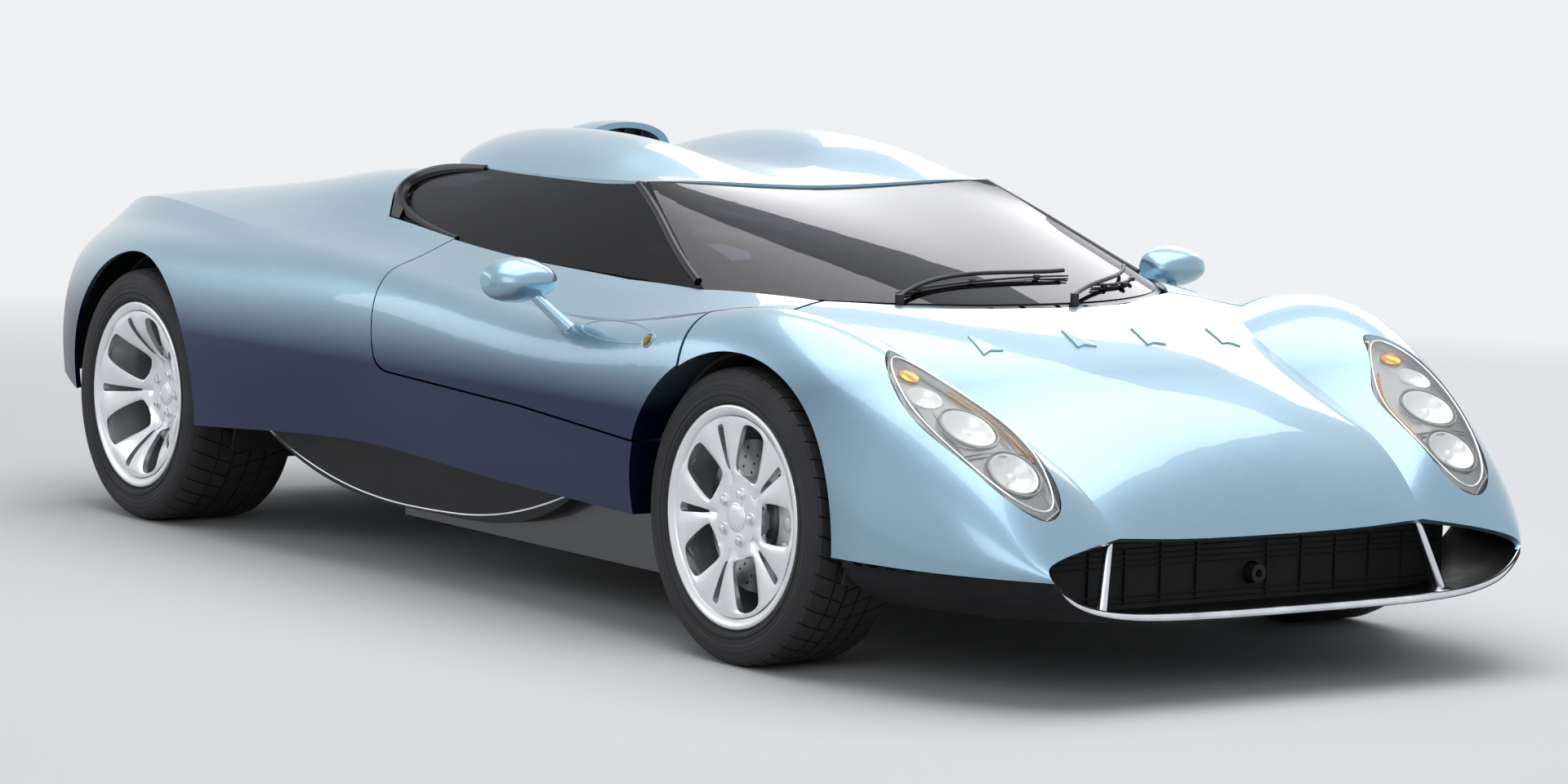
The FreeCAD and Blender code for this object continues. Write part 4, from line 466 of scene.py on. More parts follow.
def worked(tree, operation, first, second):
    """A number worked out from two others."""
    step = tree.nodes.new("ShaderNodeMath")
    step.operation = operation
    tree.links.new(first, step.inputs[0])
    tree.links.new(second, step.inputs[1])
    return step.outputs["Value"]


def spread(tree, factor, low, high, floor=0.0, top=1.0):
    """A number between two, by a factor."""
    span = tree.nodes.new("ShaderNodeMapRange")
    span.inputs["From Min"].default_value = floor
    span.inputs["From Max"].default_value = top
    span.inputs["To Min"].default_value = low
    span.inputs["To Max"].default_value = high
    tree.links.new(factor, span.inputs["Value"])
    return span.outputs["Result"]


def bumped(tree, shader, height, strength, distance=0.001):
    bump = tree.nodes.new("ShaderNodeBump")
    bump.inputs["Strength"].default_value = strength
    bump.inputs["Distance"].default_value = distance
    tree.links.new(height, bump.inputs["Height"])
    tree.links.new(bump.outputs["Normal"], shader.inputs["Normal"])


def finish(slot, tone, deep, rough, scale=12, grain=0.15, grain_scale=500, stretch=(1, 1, 1),
           depth=0.001, pattern="cloud", **sockets):
    """A material whose colour, roughness and grain vary over the surface."""
    named = {key.replace("_", " ").title().replace("Ior", "IOR"): value
             for key, value in sockets.items()}
    material, tree, shader, place = blank(slot.replace("_", " "), named)
    place = stretched(tree, place, stretch)
    wear = cloud(tree, place, scale, 5)
    tree.links.new(between(tree, spread(tree, wear, 0, 1, 0.3, 0.7), deep, tone),
                   shader.inputs["Base Color"])
    tree.links.new(spread(tree, wear, *rough, 0.3, 0.7), shader.inputs["Roughness"])
    if pattern == "cells":
        bumped(tree, shader, cells(tree, place, grain_scale), grain, depth)
    else:
        bumped(tree, shader, cloud(tree, place, grain_scale, 2), grain, depth)
    FINISHES[slot] = material
    return material


def make_paint(look):
    """Metallic paint of fine flakes under a clear coat, with painted shade that darkens it low on
    the flanks.
    """
    material, tree, shader, place = blank("ice blue paint", {
        "Metallic": 0.82, "Coat Roughness": 0.025, "Coat IOR": 1.55})
    tone = tuple(look.paint)
    deep = tuple(0.94 * part for part in tone)
    flake = cells(tree, place, look.flake, "Color")
    tint = between(tree, spread(tree, cloud(tree, place, 3), 0, 1, 0.35, 0.65), deep, tone)
    axes = tree.nodes.new("ShaderNodeSeparateXYZ")
    tree.links.new(place, axes.inputs["Vector"])
    # Painted shade: this mask is 0 low on the flanks behind the nose and 1 higher up and on the
    # nose. Where it is 0, the paint's colour darkens to the painted shade colour and the clear coat
    # thins.
    pale = worked(tree, "MAXIMUM", spread(tree, axes.outputs["Z"], 0.0, 1.0, *SHADE_FADE_HEIGHT),
                  spread(tree, axes.outputs["X"], 0.0, 1.0, *SHADE_FADE_NOSE))
    tree.links.new(spread(tree, pale, 0.25, 1.0), shader.inputs["Coat Weight"])
    tint = between(tree, pale, tuple(look.painted_shade_colour), tint)
    tree.links.new(between(tree, FLAKE_SHARE, tint, flake, "SOFT_LIGHT"),
                   shader.inputs["Base Color"])
    tree.links.new(spread(tree, cloud(tree, place, 40), 0.28, 0.36), shader.inputs["Roughness"])
    bumped(tree, shader, flake, 0.035, 0.0004)
    FINISHES["body_paint"] = material


def make_weave(slot, tone, deep, pitch):
    """Twill of two sets of flat tows under a clear coat."""
    material, tree, shader, place = blank(slot.replace("_", " "), {
        "Coat Weight": 0.7, "Coat Roughness": 0.08, "Metallic": 0.1})
    waves = []
    for scale in ((pitch, pitch, 0.0), (pitch, -pitch, pitch)):
        wave = tree.nodes.new("ShaderNodeTexWave")
        wave.inputs["Scale"].default_value = 1
        tree.links.new(stretched(tree, place, scale), wave.inputs["Vector"])
        waves.append(wave.outputs["Fac"])
    weave = worked(tree, "MULTIPLY", *waves)
    tree.links.new(between(tree, weave, deep, tone), shader.inputs["Base Color"])
    tree.links.new(spread(tree, weave, 0.3, 0.5), shader.inputs["Roughness"])
    bumped(tree, shader, weave, 0.2, 0.0006)
    FINISHES[slot] = material


def make_glass(slot, tint, grain=0.02, rough=0.0):
    """Clear or tinted glass, with the faint waves of a pressed sheet."""
    material, tree, shader, place = blank(slot.replace("_", " "), {
        "Transmission Weight": 1.0, "IOR": 1.28})
    haze = cloud(tree, place, 6)
    deep = tuple(0.9 * part for part in tint)
    tree.links.new(between(tree, haze, deep, tint), shader.inputs["Base Color"])
    tree.links.new(spread(tree, haze, rough, rough + 0.02), shader.inputs["Roughness"])
    bumped(tree, shader, cloud(tree, place, 3, 1), grain, 0.001)
    FINISHES[slot] = material


def make_cover(slot, tone, share):
    """A thin clear sheet, of which only a share is seen over what lies behind it."""
    material, tree, shader, place = blank(slot.replace("_", " "), {
        "Alpha": share, "IOR": 1.5, "Coat Weight": 1.0, "Coat Roughness": 0.02})
    haze = cloud(tree, place, 8)
    deep = tuple(0.92 * part for part in tone)
    tree.links.new(between(tree, haze, deep, tone), shader.inputs["Base Color"])
    tree.links.new(spread(tree, haze, 0.02, 0.06), shader.inputs["Roughness"])
    FINISHES[slot] = material


def make_materials(look):
    make_paint(look)
    make_glass("tinted_glass", tuple(look.glass))
    make_cover("lamp_glass", (0.9, 0.93, 0.95), 0.07)
    make_glass("amber_glass", (1.0, 0.42, 0.04), 0.3)
    make_weave("carbon_black", (0.03, 0.031, 0.034), (0.006, 0.006, 0.007), 220)
    finish("gloss_black", (0.007, 0.007, 0.009), (0.003, 0.003, 0.004), (0.2, 0.3), grain=0.02,
           grain_scale=60, specular_ior_level=0.3, coat_weight=0.12)
    finish("satin_black", (0.03, 0.03, 0.032), (0.014, 0.014, 0.016), (0.38, 0.55), grain=0.2)
    finish("frame_black", (0.04, 0.04, 0.042), (0.02, 0.02, 0.021), (0.45, 0.62), grain=0.3,
           grain_scale=220)
    finish("engine_alloy", (0.5, 0.5, 0.5), (0.3, 0.3, 0.31), (0.42, 0.6), grain=0.4,
           grain_scale=300, metallic=0.9)
    finish("dark_steel", (0.2, 0.2, 0.21), (0.1, 0.1, 0.1), (0.35, 0.5), metallic=0.9)
    finish("cast_alloy", (0.42, 0.42, 0.43), (0.27, 0.27, 0.28), (0.45, 0.62), grain=0.5,
           grain_scale=260, metallic=0.85)
    finish("liner_black", (0.018, 0.018, 0.019), (0.008, 0.008, 0.009), (0.75, 0.95), grain=0.6,
           grain_scale=350, depth=0.002)
    finish("lip_black", (0.011, 0.011, 0.012), (0.005, 0.005, 0.006), (0.34, 0.48), grain=0.15,
           specular_ior_level=0.2)
    finish("core_black", (0.02, 0.02, 0.021), (0.006, 0.006, 0.007), (0.6, 0.8), grain=0.5)
    finish("lamp_red", (0.6, 0.012, 0.012), (0.35, 0.004, 0.004), (0.06, 0.14), grain=0.5,
           grain_scale=120, pattern="cells", coat_weight=1.0)
    finish("pipe_steel", (0.66, 0.65, 0.64), (0.42, 0.38, 0.35), (0.16, 0.3), grain=0.1,
           stretch=(0.2, 1, 1), metallic=1.0)
    finish("seat_leather", (0.035, 0.036, 0.04), (0.018, 0.018, 0.02), (0.42, 0.56), grain=0.55,
           grain_scale=520, pattern="cells")
    finish("dash_leather", (0.03, 0.03, 0.033), (0.016, 0.016, 0.018), (0.5, 0.66), grain=0.5,
           grain_scale=620, pattern="cells")
    finish("grip_leather", (0.02, 0.02, 0.021), (0.01, 0.01, 0.011), (0.34, 0.5), grain=0.5,
           grain_scale=700, pattern="cells")
    finish("lamp_silver", (0.74, 0.75, 0.76), (0.66, 0.67, 0.68), (0.22, 0.3), scale=3,
           grain=0.05, metallic=0.9)
    finish("lamp_grey", (0.33, 0.34, 0.335), (0.27, 0.28, 0.275), (0.34, 0.42), scale=3,
           metallic=0.4)
    finish("tyre_rubber", (0.022, 0.022, 0.023), (0.011, 0.011, 0.012), (0.62, 0.82), grain=0.35,
           grain_scale=600)
    finish("wheel_silver", tuple(look.wheel), tuple(0.9 * part for part in look.wheel),
           (0.26, 0.34), grain=0.06, grain_scale=900, metallic=0.75, coat_weight=0.9)
    finish("disc_steel", (0.5, 0.5, 0.51), (0.3, 0.3, 0.3), (0.26, 0.42), grain=0.3,
           stretch=(1, 0.05, 1), grain_scale=240, metallic=1.0)
    finish("bright_edge", (0.8, 0.82, 0.85), (0.6, 0.62, 0.66), (0.18, 0.3), grain=0.06,
           metallic=1.0)
    finish("webbing", (0.05, 0.05, 0.055), (0.02, 0.02, 0.022), (0.6, 0.75), grain=0.7,
           stretch=(0.3, 1, 0.3), grain_scale=900)
    finish("stitching", (0.55, 0.57, 0.6), (0.3, 0.31, 0.33), (0.6, 0.75), grain=0.9,
           grain_scale=420, pattern="cells")
    finish("dial_face", (0.06, 0.06, 0.065), (0.03, 0.03, 0.033), (0.25, 0.35), grain=0.1)
    finish("cover_black", (0.035, 0.035, 0.037), (0.018, 0.018, 0.02), (0.4, 0.6), grain=0.9,
           grain_scale=420, pattern="cells")
    finish("reflector", (0.97, 0.97, 0.96), (0.92, 0.92, 0.92), (0.26, 0.34), scale=3, grain=0.08,
           grain_scale=90, pattern="cells", metallic=0.25, coat_weight=0.5)
    finish("caliper_silver", (0.62, 0.63, 0.64), (0.5, 0.5, 0.51), (0.34, 0.46), grain=0.15,
           metallic=0.6, coat_weight=0.4)
    finish("mirror_face", (0.86, 0.88, 0.9), (0.8, 0.82, 0.84), (0.015, 0.04), grain=0.0,
           metallic=1.0)
    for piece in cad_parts.values():
        slot = piece.material_slots[0]
        slot.material = FINISHES[slot.material.name]


# Sizes and colours

class SupercarLook(bpy.types.PropertyGroup):
    """Sizes and colours that the pieces are made to."""

    paint: bpy.props.FloatVectorProperty(
        name="Body paint", description="Colour of the painted panels",
        default=(0.27, 0.43, 0.54), size=3, subtype="COLOR", min=0, max=1)
    # Colour of the painted shade that darkens the paint low on the flanks.
    painted_shade_colour: bpy.props.FloatVectorProperty(
        name="Paint at the sills", description="Colour that the paint deepens to, low down",
        default=(0.003, 0.016, 0.075), size=3, subtype="COLOR", min=0, max=1)
    flake: bpy.props.FloatProperty(
        name="Paint flakes", description="How many flakes lie along a metre of paint",
        default=1400, min=100, max=6000)
    glass: bpy.props.FloatVectorProperty(
        name="Glass tint", description="Colour of the cabin glass",
        default=(0.07, 0.065, 0.11), size=3, subtype="COLOR", min=0, max=1)
    wheel: bpy.props.FloatVectorProperty(
        name="Wheel paint", description="Colour of the wheels",
        default=(0.86, 0.88, 0.9), size=3, subtype="COLOR", min=0, max=1)
    groove: bpy.props.FloatProperty(
        name="Tread depth", description="Depth of the grooves in the tyres",
        default=0.006, min=0.001, max=0.01, unit="LENGTH")
    tread_blocks: bpy.props.IntProperty(
        name="Tread blocks", description="Blocks around a tyre in each row",
        default=48, min=12, max=90)
    floor_radius: bpy.props.FloatProperty(
        name="Floor radius", description="Reach of the studio floor",
        default=30, min=10, max=80, unit="LENGTH")


class SUPERCAR_OT_materials(bpy.types.Operator):
    """Makes the materials and gives the carried-over pieces theirs"""

    bl_idname = "supercar.materials"
    bl_label = "Materials"

    def execute(self, context):
        make_materials(context.scene.supercar)
        return {"FINISHED"}


# Wheels

TREAD_ROWS = ((-0.86, -0.46), (-0.42, -0.17), (-0.13, 0.13), (0.17, 0.42), (0.46, 0.86))
SIDEWALL = ((0.24, 2.0), (0.275, 0.3), (0.31, 0.0), (0.335, 0.4), (0.345, 2.6), (0.37, 2.6),
            (0.38, 0.8), (0.46, 0.2), (0.475, 1.0), (0.49, 0.2), (0.56, 0.2), (0.575, 1.2),
            (0.6, 1.2), (0.612, 0.5), (0.7, 1.8), (0.712, 2.8), (0.735, 3.2), (0.745, 2.6),
            (0.83, 6.0))
FACE_ROWS = (
    (0.136, 24, 6.0), (0.22, 24, 4.0), (0.305, 24, 2.0), (0.345, 26, 1.6), (0.38, 29, 1.2),
    (0.41, 16.5, 1.0), (0.43, 14.6, 0.9), (0.47, 14.6, 2.2), (0.54, 16.8, 2.5), (0.62, 19.2, 2.7),
    (0.70, 21.3, 2.9), (0.78, 23.2, 3.1), (0.82, 24.6, 3.1), (0.84, 26.5, 2.0), (0.86, 31, 2.0),
    (0.897, 28, 3.0),
)
SPOKE_PAIRS = 5
HALF_SECTOR = 180 / SPOKE_PAIRS
WINDOW_FROM, WINDOW_TO = 4, 14
SLOT_FROM, SLOT_TO = 6, 13
HUB_EDGE = 0.074
BOLT_RING = 0.053
DISC_RADIUS = 0.166
DISC_SETBACK = 0.022
DRILL_RINGS = 4
DRILL_PITCH = 0.0185
DRILLS = 18
DISC_VANES = 36
HUB_BACK = {"front": 0.853, "rear": 0.821}
WHEEL_MIDDLE = {"front": 0.781, "rear": 0.785}


def tread_block(section, angle, slant):
    """One rubber block, turned through a small angle and slanted across the tyre."""
    block = turned("tread_block", section, 3, angle=angle)
    for vertex in block.data.vertices:
        vertex.co = Matrix.Rotation(slant * vertex.co.y, 3, "Y") @ vertex.co
    return block


def tyre(name, radius, width, rim_width, look):
    """A low-profile tyre with ringed sidewalls and five rows of blocks."""
    half = width / 2
    seat = rim_width / 2 - 0.009
    wall = radius - BEAD
    floor = radius - look.groove
    side = [(BEAD, seat), (BEAD + wall * 0.15, seat), (BEAD + wall * 0.18, seat + 0.004)]
    side += [(BEAD + wall * up, half - inset / 1000) for up, inset in SIDEWALL]
    side += [(BEAD + wall * 0.9, half * 0.905), (floor - 0.001, half * 0.8), (floor, half * 0.7)]
    carcass = turned("carcass", side + [(up, -out) for up, out in reversed(side)], 120)
    pitch = math.tau / look.tread_blocks
    blocks = []
    for low, high in TREAD_ROWS:
        low, high = low * half, high * half
        if abs(low + high) < half * 0.7:
            section = [(floor - 0.002, low), (radius, low), (radius, high), (floor - 0.002, high)]
        else:
            hand = 1 if high > 0 else -1
            near, far = sorted((abs(low), abs(high)))
            section = [(floor - 0.002, near), (radius, near), (radius, far * 0.82),
                       (radius - 0.045 * wall, far), (radius - 0.1 * wall, far * 1.045),
                       (floor - 0.004, far * 0.93)]
            section = [(up, hand * out) for up, out in section]
        blocks.append(tread_block(section, pitch * 0.9, 1.1 if high > -low else -1.1))
    ring = repeated(joined("tread", blocks), look.tread_blocks)
    return joined(name, [carcass, ring])


def wheel_face(front, dish):
    """A dished disc of spoke pairs, with a petal window between pairs and a slot in each."""
    hub = front - dish
    rows = []
    for share, window, slot in FACE_ROWS:
        out = hub + (front - 0.009 - hub) * ease((share - 0.29) / 0.56) ** 0.8
        groove = -0.0045 if 0.3 < share < 0.45 else 0
        crown = 0.0028 * ease((share - 0.3) / 0.12)
        row = []
        for angle, rise in ((0, groove), (slot, groove * 0.6 - crown * 0.3),
                            (slot + (window - slot) * 0.3, crown * 0.7),
                            (slot + (window - slot) * 0.6, crown),
                            (slot + (window - slot) * 0.85, crown * 0.5),
                            (window, -crown * 0.6), (HALF_SECTOR, -crown * 0.6)):
            turn = math.radians(angle)
            row.append((share * FLANGE * math.cos(turn), out + rise,
                        share * FLANGE * math.sin(turn)))
        rows.append(row)
    face = net("face", rows)
    columns = len(rows[0]) - 1
    gone = {row * columns + columns - 1 for row in range(WINDOW_FROM, WINDOW_TO)}
    gone |= {row * columns for row in range(SLOT_FROM, SLOT_TO)}
    editing(face)
    pick(face, lambda item: item.index in gone)
    bpy.ops.mesh.delete(type="FACE")
    only(face)
    twin = mirrored(duplicate(face, "face"), UP)
    disc = repeated(joined("face", [face, twin]), SPOKE_PAIRS)
    merged(disc, 0.0003, outwards=False)
    thickened(disc, 0.019, LEFT, 0.0028)
    return modified(disc, "SUBSURF", levels=1, render_levels=1)


def rim(name, end):
    spec = WHEELS[end]
    front, dish = spec["rim"] / 2, spec["dish"]
    hub = front - dish
    barrel = turned("barrel", [
        (0.2165, front - 0.034), (0.2172, front - 0.013), (0.2235, front - 0.0055),
        (0.2315, front - 0.0012), (0.2365, front), (0.2412, front - 0.0008),
        (FLANGE, front - 0.0035), (FLANGE, front - 0.009), (0.232, front - 0.0105),
        (BEAD, front - 0.018), (BEAD, 0.012 - front), (FLANGE, 0.0095 - front), (FLANGE, -front),
        (0.236, -front), (0.224, 0.002 - front), (0.218, 0.012 - front), (0.2165, 0.034 - front),
    ], 120)
    hat = turned("pad", [(0.030, hub - 0.016), (0.030, hub - 0.001), (HUB_EDGE * 0.5, hub + 0.0004),
                         (HUB_EDGE * 0.97, hub + 0.0002), (HUB_EDGE, hub - 0.004),
                         (HUB_EDGE, hub - 0.024), (0.034, hub - 0.026)], 72)
    cap = turned("cap", [(0, hub + 0.0066), (0.014, hub + 0.0064), (0.0245, hub + 0.0056),
                         (0.0268, hub + 0.0044), (0.0272, hub + 0.0034), (0.0282, hub + 0.0034),
                         (0.0312, hub + 0.0026), (0.0326, hub + 0.0006), (0.033, hub - 0.006),
                         (0, hub - 0.006)], 72)
    seats = []
    for step in range(SPOKE_PAIRS):
        turn = math.tau * (step + 0.5) / SPOKE_PAIRS
        seats.append(moved(turned("seat", [
            (0.0126, hub - 0.002), (0.0126, hub + 0.0012), (0.0134, hub + 0.0018),
            (0.0148, hub + 0.0014), (0.0156, hub - 0.002)], 28),
            (BOLT_RING * math.cos(turn), 0, BOLT_RING * math.sin(turn))))
    return joined(name, [barrel, wheel_face(front, dish), hat, cap, *seats])


def bolts(name, end):
    """Hexagonal bolts on washers, and the valve in the barrel."""
    front = WHEELS[end]["rim"] / 2
    hub = front - WHEELS[end]["dish"]
    head = rod("bolt", (0, hub - 0.002, 0), (0, hub + 0.0085, 0), 0.0098, 6)
    bevelled(head, 0.0012, 2, 50)
    washer = turned("washer", [(0.004, hub), (0.0122, hub), (0.0122, hub + 0.0012),
                               (0.0102, hub + 0.0028), (0.004, hub + 0.0028)], 28)
    bolt = moved(joined("bolt", [head, washer]), (BOLT_RING, 0, 0))
    spun(bolt, math.tau / 2 / SPOKE_PAIRS)
    ring = repeated(bolt, SPOKE_PAIRS)
    foot = Vector((0.213, front - 0.052, 0))
    valve = [rod("stem", foot, foot + Vector((-0.011, 0.027, 0)), 0.0034, 12),
             rod("cap", foot + Vector((-0.0100, 0.0245, 0)), foot + Vector((-0.0152, 0.037, 0)),
                 0.0045, 12, 0.0038)]
    return joined(name, [ring, spun(joined("valve", valve), math.radians(-94))])


def brake_disc(name):
    """Two drilled plates on vanes, with the bell that carries them."""
    outer = -DISC_SETBACK
    drilled = []
    for ring in range(DRILL_RINGS):
        reach = 0.094 + DRILL_PITCH * ring
        for step in range(DRILLS):
            turn = math.tau * (step + ring * 0.3) / DRILLS
            middle = (reach * math.cos(turn), reach * math.sin(turn))
            drilled.append(circle(middle, 0.0034, 10))
    inner = circle((0, 0), HUB_EDGE, 72)
    face = perforated("plate", circle((0, 0), DISC_RADIUS - 0.0005, 96), [inner, *drilled], 0.009)
    spun(face, math.pi / 2, "X")
    back = moved(duplicate(face, "plate"), (0, outer - 0.0235, 0))
    moved(face, (0, outer - 0.0045, 0))
    vane = bar("vane", (0.121, outer - 0.014, 0), (0.084, 0.0102, 0.0035), 0.0008)
    vanes = repeated(vane, DISC_VANES)
    bell = turned("bell", [(0.030, -0.0005), (0.067, -0.0005), (HUB_EDGE - 0.001, -0.005),
                           (HUB_EDGE + 0.004, outer - 0.001), (HUB_EDGE + 0.004, outer - 0.012),
                           (0.067, outer - 0.012), (0.0655, -0.008), (0.030, -0.008)], 72)
    return joined(name, [face, back, vanes, bell])


def caliper(name):
    """A saddle over the disc's front edge, with its pistons' bosses and its bolts."""
    saddle = turned("saddle", [
        (0.121, -0.0005), (0.187, -0.0005), (0.1945, -0.008), (0.1945, -0.0645), (0.187, -0.072),
        (0.121, -0.072), (0.121, -0.0545), (0.1705, -0.0545), (0.1705, -0.0175), (0.121, -0.0175),
    ], 44, angle=math.radians(104))
    spun(saddle, math.radians(52))
    for hand in (1, -1):
        editing(saddle)
        bpy.ops.mesh.bisect(plane_co=(0, 0, 0.0965 * hand), plane_no=(0, 0, hand), use_fill=True,
                            clear_outer=True)
    only(saddle)
    bevelled(saddle, 0.004, 3, 45)
    parts = [saddle]
    for angle in (-21, 0, 21):
        turn = math.radians(angle)
        boss = turned("boss", [(0, 0.0022), (0.0125, 0.0022), (0.0155, 0.0008), (0.016, -0.002),
                               (0, -0.002)], 32)
        parts.append(moved(boss, (0.153 * math.cos(turn), 0, 0.153 * math.sin(turn))))
    for angle in (-27, -10.5, 10.5, 27):
        turn = math.radians(angle)
        head = rod("screw", (0, -0.001, 0), (0, 0.0032, 0), 0.0052, 6)
        bevelled(head, 0.0006, 1, 50)
        parts.append(moved(head, (0.181 * math.cos(turn), 0, 0.181 * math.sin(turn))))
    nipple = rod("nipple", (0.160, -0.012, 0.094), (0.160, -0.012, 0.107), 0.0038, 8, 0.0026)
    return joined(name, [*parts, nipple])


def at_wheel(piece, end, side, out):
    """Moves a left wheel's piece to its axle, turned round for the right side."""
    if side < 0:
        spun(piece, math.pi, "Z")
    spec = WHEELS[end]
    return moved(piece, (spec["axle"], side * out, spec["radius"]))


class SUPERCAR_OT_wheels(bpy.types.Operator):
    """Builds the tyres, the sculpted wheels and their bolts"""

    bl_idname = "supercar.wheels"
    bl_label = "Wheels"

    def execute(self, context):
        look = context.scene.supercar
        for end, spec in WHEELS.items():
            rubber = tyre("rubber", spec["radius"], spec["tyre"], spec["rim"], look)
            metal = rim("metal", end)
            screws = bolts("screws", end)
            for hand, side in SIDES:
                corner = f"{end}_{hand}"
                out = WHEEL_MIDDLE[end]
                body = f"wheel_{corner}"
                done(at_wheel(duplicate(rubber, f"ribbed_tyre_{corner}"), end, side, out),
                     body, "tyre_rubber", f"tyre_{corner}")
                done(at_wheel(duplicate(metal, f"spoked_rim_{corner}"), end, side, out),
                     body, "wheel_silver", f"rim_{corner}", angle=50)
                done(at_wheel(duplicate(screws, f"wheel_bolts_{corner}"), end, side, out),
                     body, "wheel_silver", material="bright_edge")
            for piece in (rubber, metal, screws):
                removed(piece)
        return {"FINISHED"}


class SUPERCAR_OT_brakes(bpy.types.Operator):
    """Builds the drilled discs and the calipers over them"""

    bl_idname = "supercar.brakes"
    bl_label = "Brakes"

    def execute(self, context):
        disc, saddle = brake_disc("disc"), caliper("saddle")
        for end, spec in WHEELS.items():
            for hand, side in SIDES:
                corner = f"{end}_{hand}"
                done(at_wheel(duplicate(disc, f"drilled_disc_{corner}"), end, side, HUB_BACK[end]),
                     f"wheel_{corner}", "disc_steel", f"brake_disc_{corner}")
                twin = duplicate(saddle, f"caliper_{corner}")
                if side < 0:
                    mirrored(twin)
                moved(twin, (spec["axle"], side * HUB_BACK[end], spec["radius"]))
                done(twin, f"hub_carrier_{hand}" if end == "front" else "chassis", "cast_alloy",
                     material="caliper_silver")
        removed(disc)
        removed(saddle)
        return {"FINISHED"}


# Nose

LAMP_OUTLINE = ((1.427, 0.690), (1.494, 0.744), (1.607, 0.770), (1.745, 0.729), (1.846, 0.676),
                (1.883, 0.608), (1.867, 0.563), (1.772, 0.534), (1.687, 0.533), (1.605, 0.548),
                (1.478, 0.640))
LAMP_MIDDLE = (1.665, 0.645)
REFLECTORS = ((1.572, 0.700, 0.036), (1.667, 0.655, 0.056), (1.782, 0.622, 0.052))
AMBER_EYE = (1.502, 0.690)
AMBER_STREAK = ((1.540, 0.617), (1.578, 0.588), (1.612, 0.566), (1.66, 0.555), (1.71, 0.553),
                (1.76, 0.554))
LAMP_RIBS = ((1.722, 0.098), (1.731, 0.094))
RIB_STEPS = 6
LAMP_WALL = ((0.972, 0.0062), (0.955, 0.018), (0.93, 0.027), (0.86, 0.045), (0.6, 0.075),
             (0.3, 0.085), (0.0, 0.087))
CHORD_STEPS = 5
BEZEL_SINK = 0.024
LIP_EDGE = ((1.0, 0.0, 0.165), (0.998, 0.204, 0.165), (0.993, 0.408, 0.167), (0.98, 0.561, 0.178),
            (0.97, 0.643, 0.208), (0.962, 0.673, 0.246))
LIP_REACH = 0.853
STAY_LOW = (1.912, 0.483, 0.151)
STAY_HIGH = (1.8667, 0.428, 0.367)
TOW_SOCKET = (0.06, 0.23)
CORE_PLANE = 1.7655
FIN_ROWS = 20
FIN_FOOT = 0.185
FIN_PITCH = 0.0125
FINS = ((1.313, 0.343), (1.338, 0.10))


def leaning(node, x, y, reach=0.012):
    """The way that a node's upper face looks at a place."""
    return Vector((level_at(node, x - reach, y) - level_at(node, x + reach, y),
                   level_at(node, x, y - reach) - level_at(node, x, y + reach),
                   2 * reach)).normalized()


def reflector(name, radius):
    """A bright bowl that looks along Y, with a capped bulb."""
    deep = radius * 0.62
    bowl = turned("bowl", [
        (0, -deep), (0.3 * radius, -0.95 * deep), (0.6 * radius, -0.72 * deep),
        (0.85 * radius, -0.35 * deep), (0.97 * radius, -0.05 * deep), (radius, 0),
        (1.06 * radius, 0.0018), (1.1 * radius, -0.002), (1.1 * radius, -0.012),
        (radius, -0.014), (0.88 * radius, -0.42 * deep), (0.62 * radius, -0.8 * deep),
        (0.3 * radius, -deep - 0.003), (0, -deep - 0.003)], 64)
    bulb = turned("bulb", [
        (0, -0.2 * deep), (0.12 * radius, -0.22 * deep), (0.19 * radius, -0.3 * deep),
        (0.2 * radius, -0.36 * deep), (0.2 * radius, -0.58 * deep), (0.12 * radius, -0.62 * deep),
        (0.07 * radius, -0.8 * deep), (0.07 * radius, -deep), (0, -deep)], 32)
    return joined(name, [bowl, bulb])


def lamp_line(share, lift):
    """Points along the lamp's outline, drawn in towards its middle and set on its cover."""
    line = []
    for x, y in LAMP_OUTLINE:
        x = LAMP_MIDDLE[0] + (x - LAMP_MIDDLE[0]) * share
        y = LAMP_MIDDLE[1] + (y - LAMP_MIDDLE[1]) * share
        line.append((x, y, level_at("headlamp_covers", x, y) + lift))
    return line


def softened(line, steps=5):
    """More points along a closed line, rounded at its corners."""
    count = len(line)
    result = []
    for index in range(count):
        before, start, end, after = (Vector(line[(index + shift) % count][:2] + (0,))
                                     for shift in (-1, 0, 1, 2))
        for step in range(steps):
            share = step / steps
            point = 0.5 * (2 * start + (end - before) * share
                           + (2 * before - 5 * start + 4 * end - after) * share ** 2
                           + (3 * start - before - 3 * end + after) * share ** 3)
            result.append((point.x, point.y))
    return result


def on_cover(piece, x, y, lift):
    """Sets a piece made along Y at a height over or under the lamp's cover, leaning as it does."""
    cover = "headlamp_covers"
    return aimed(piece, (x, y, level_at(cover, x, y) + lift), leaning(cover, x, y))


def lamp_housing():
    """The open bowl under a cover: rings of points that follow it ever deeper."""
    rows = []
    for share, depth in LAMP_WALL:
        corners = [Vector(point) for point in lamp_line(share, -depth)]
        ring = [start.lerp(end, step / CHORD_STEPS)
                for start, end in zip(corners, corners[1:] + corners[:1])
                for step in range(CHORD_STEPS)]
        rows.append(ring + ring[:1])
    return thickened(merged(net("housing", rows)), 0.003, UP)


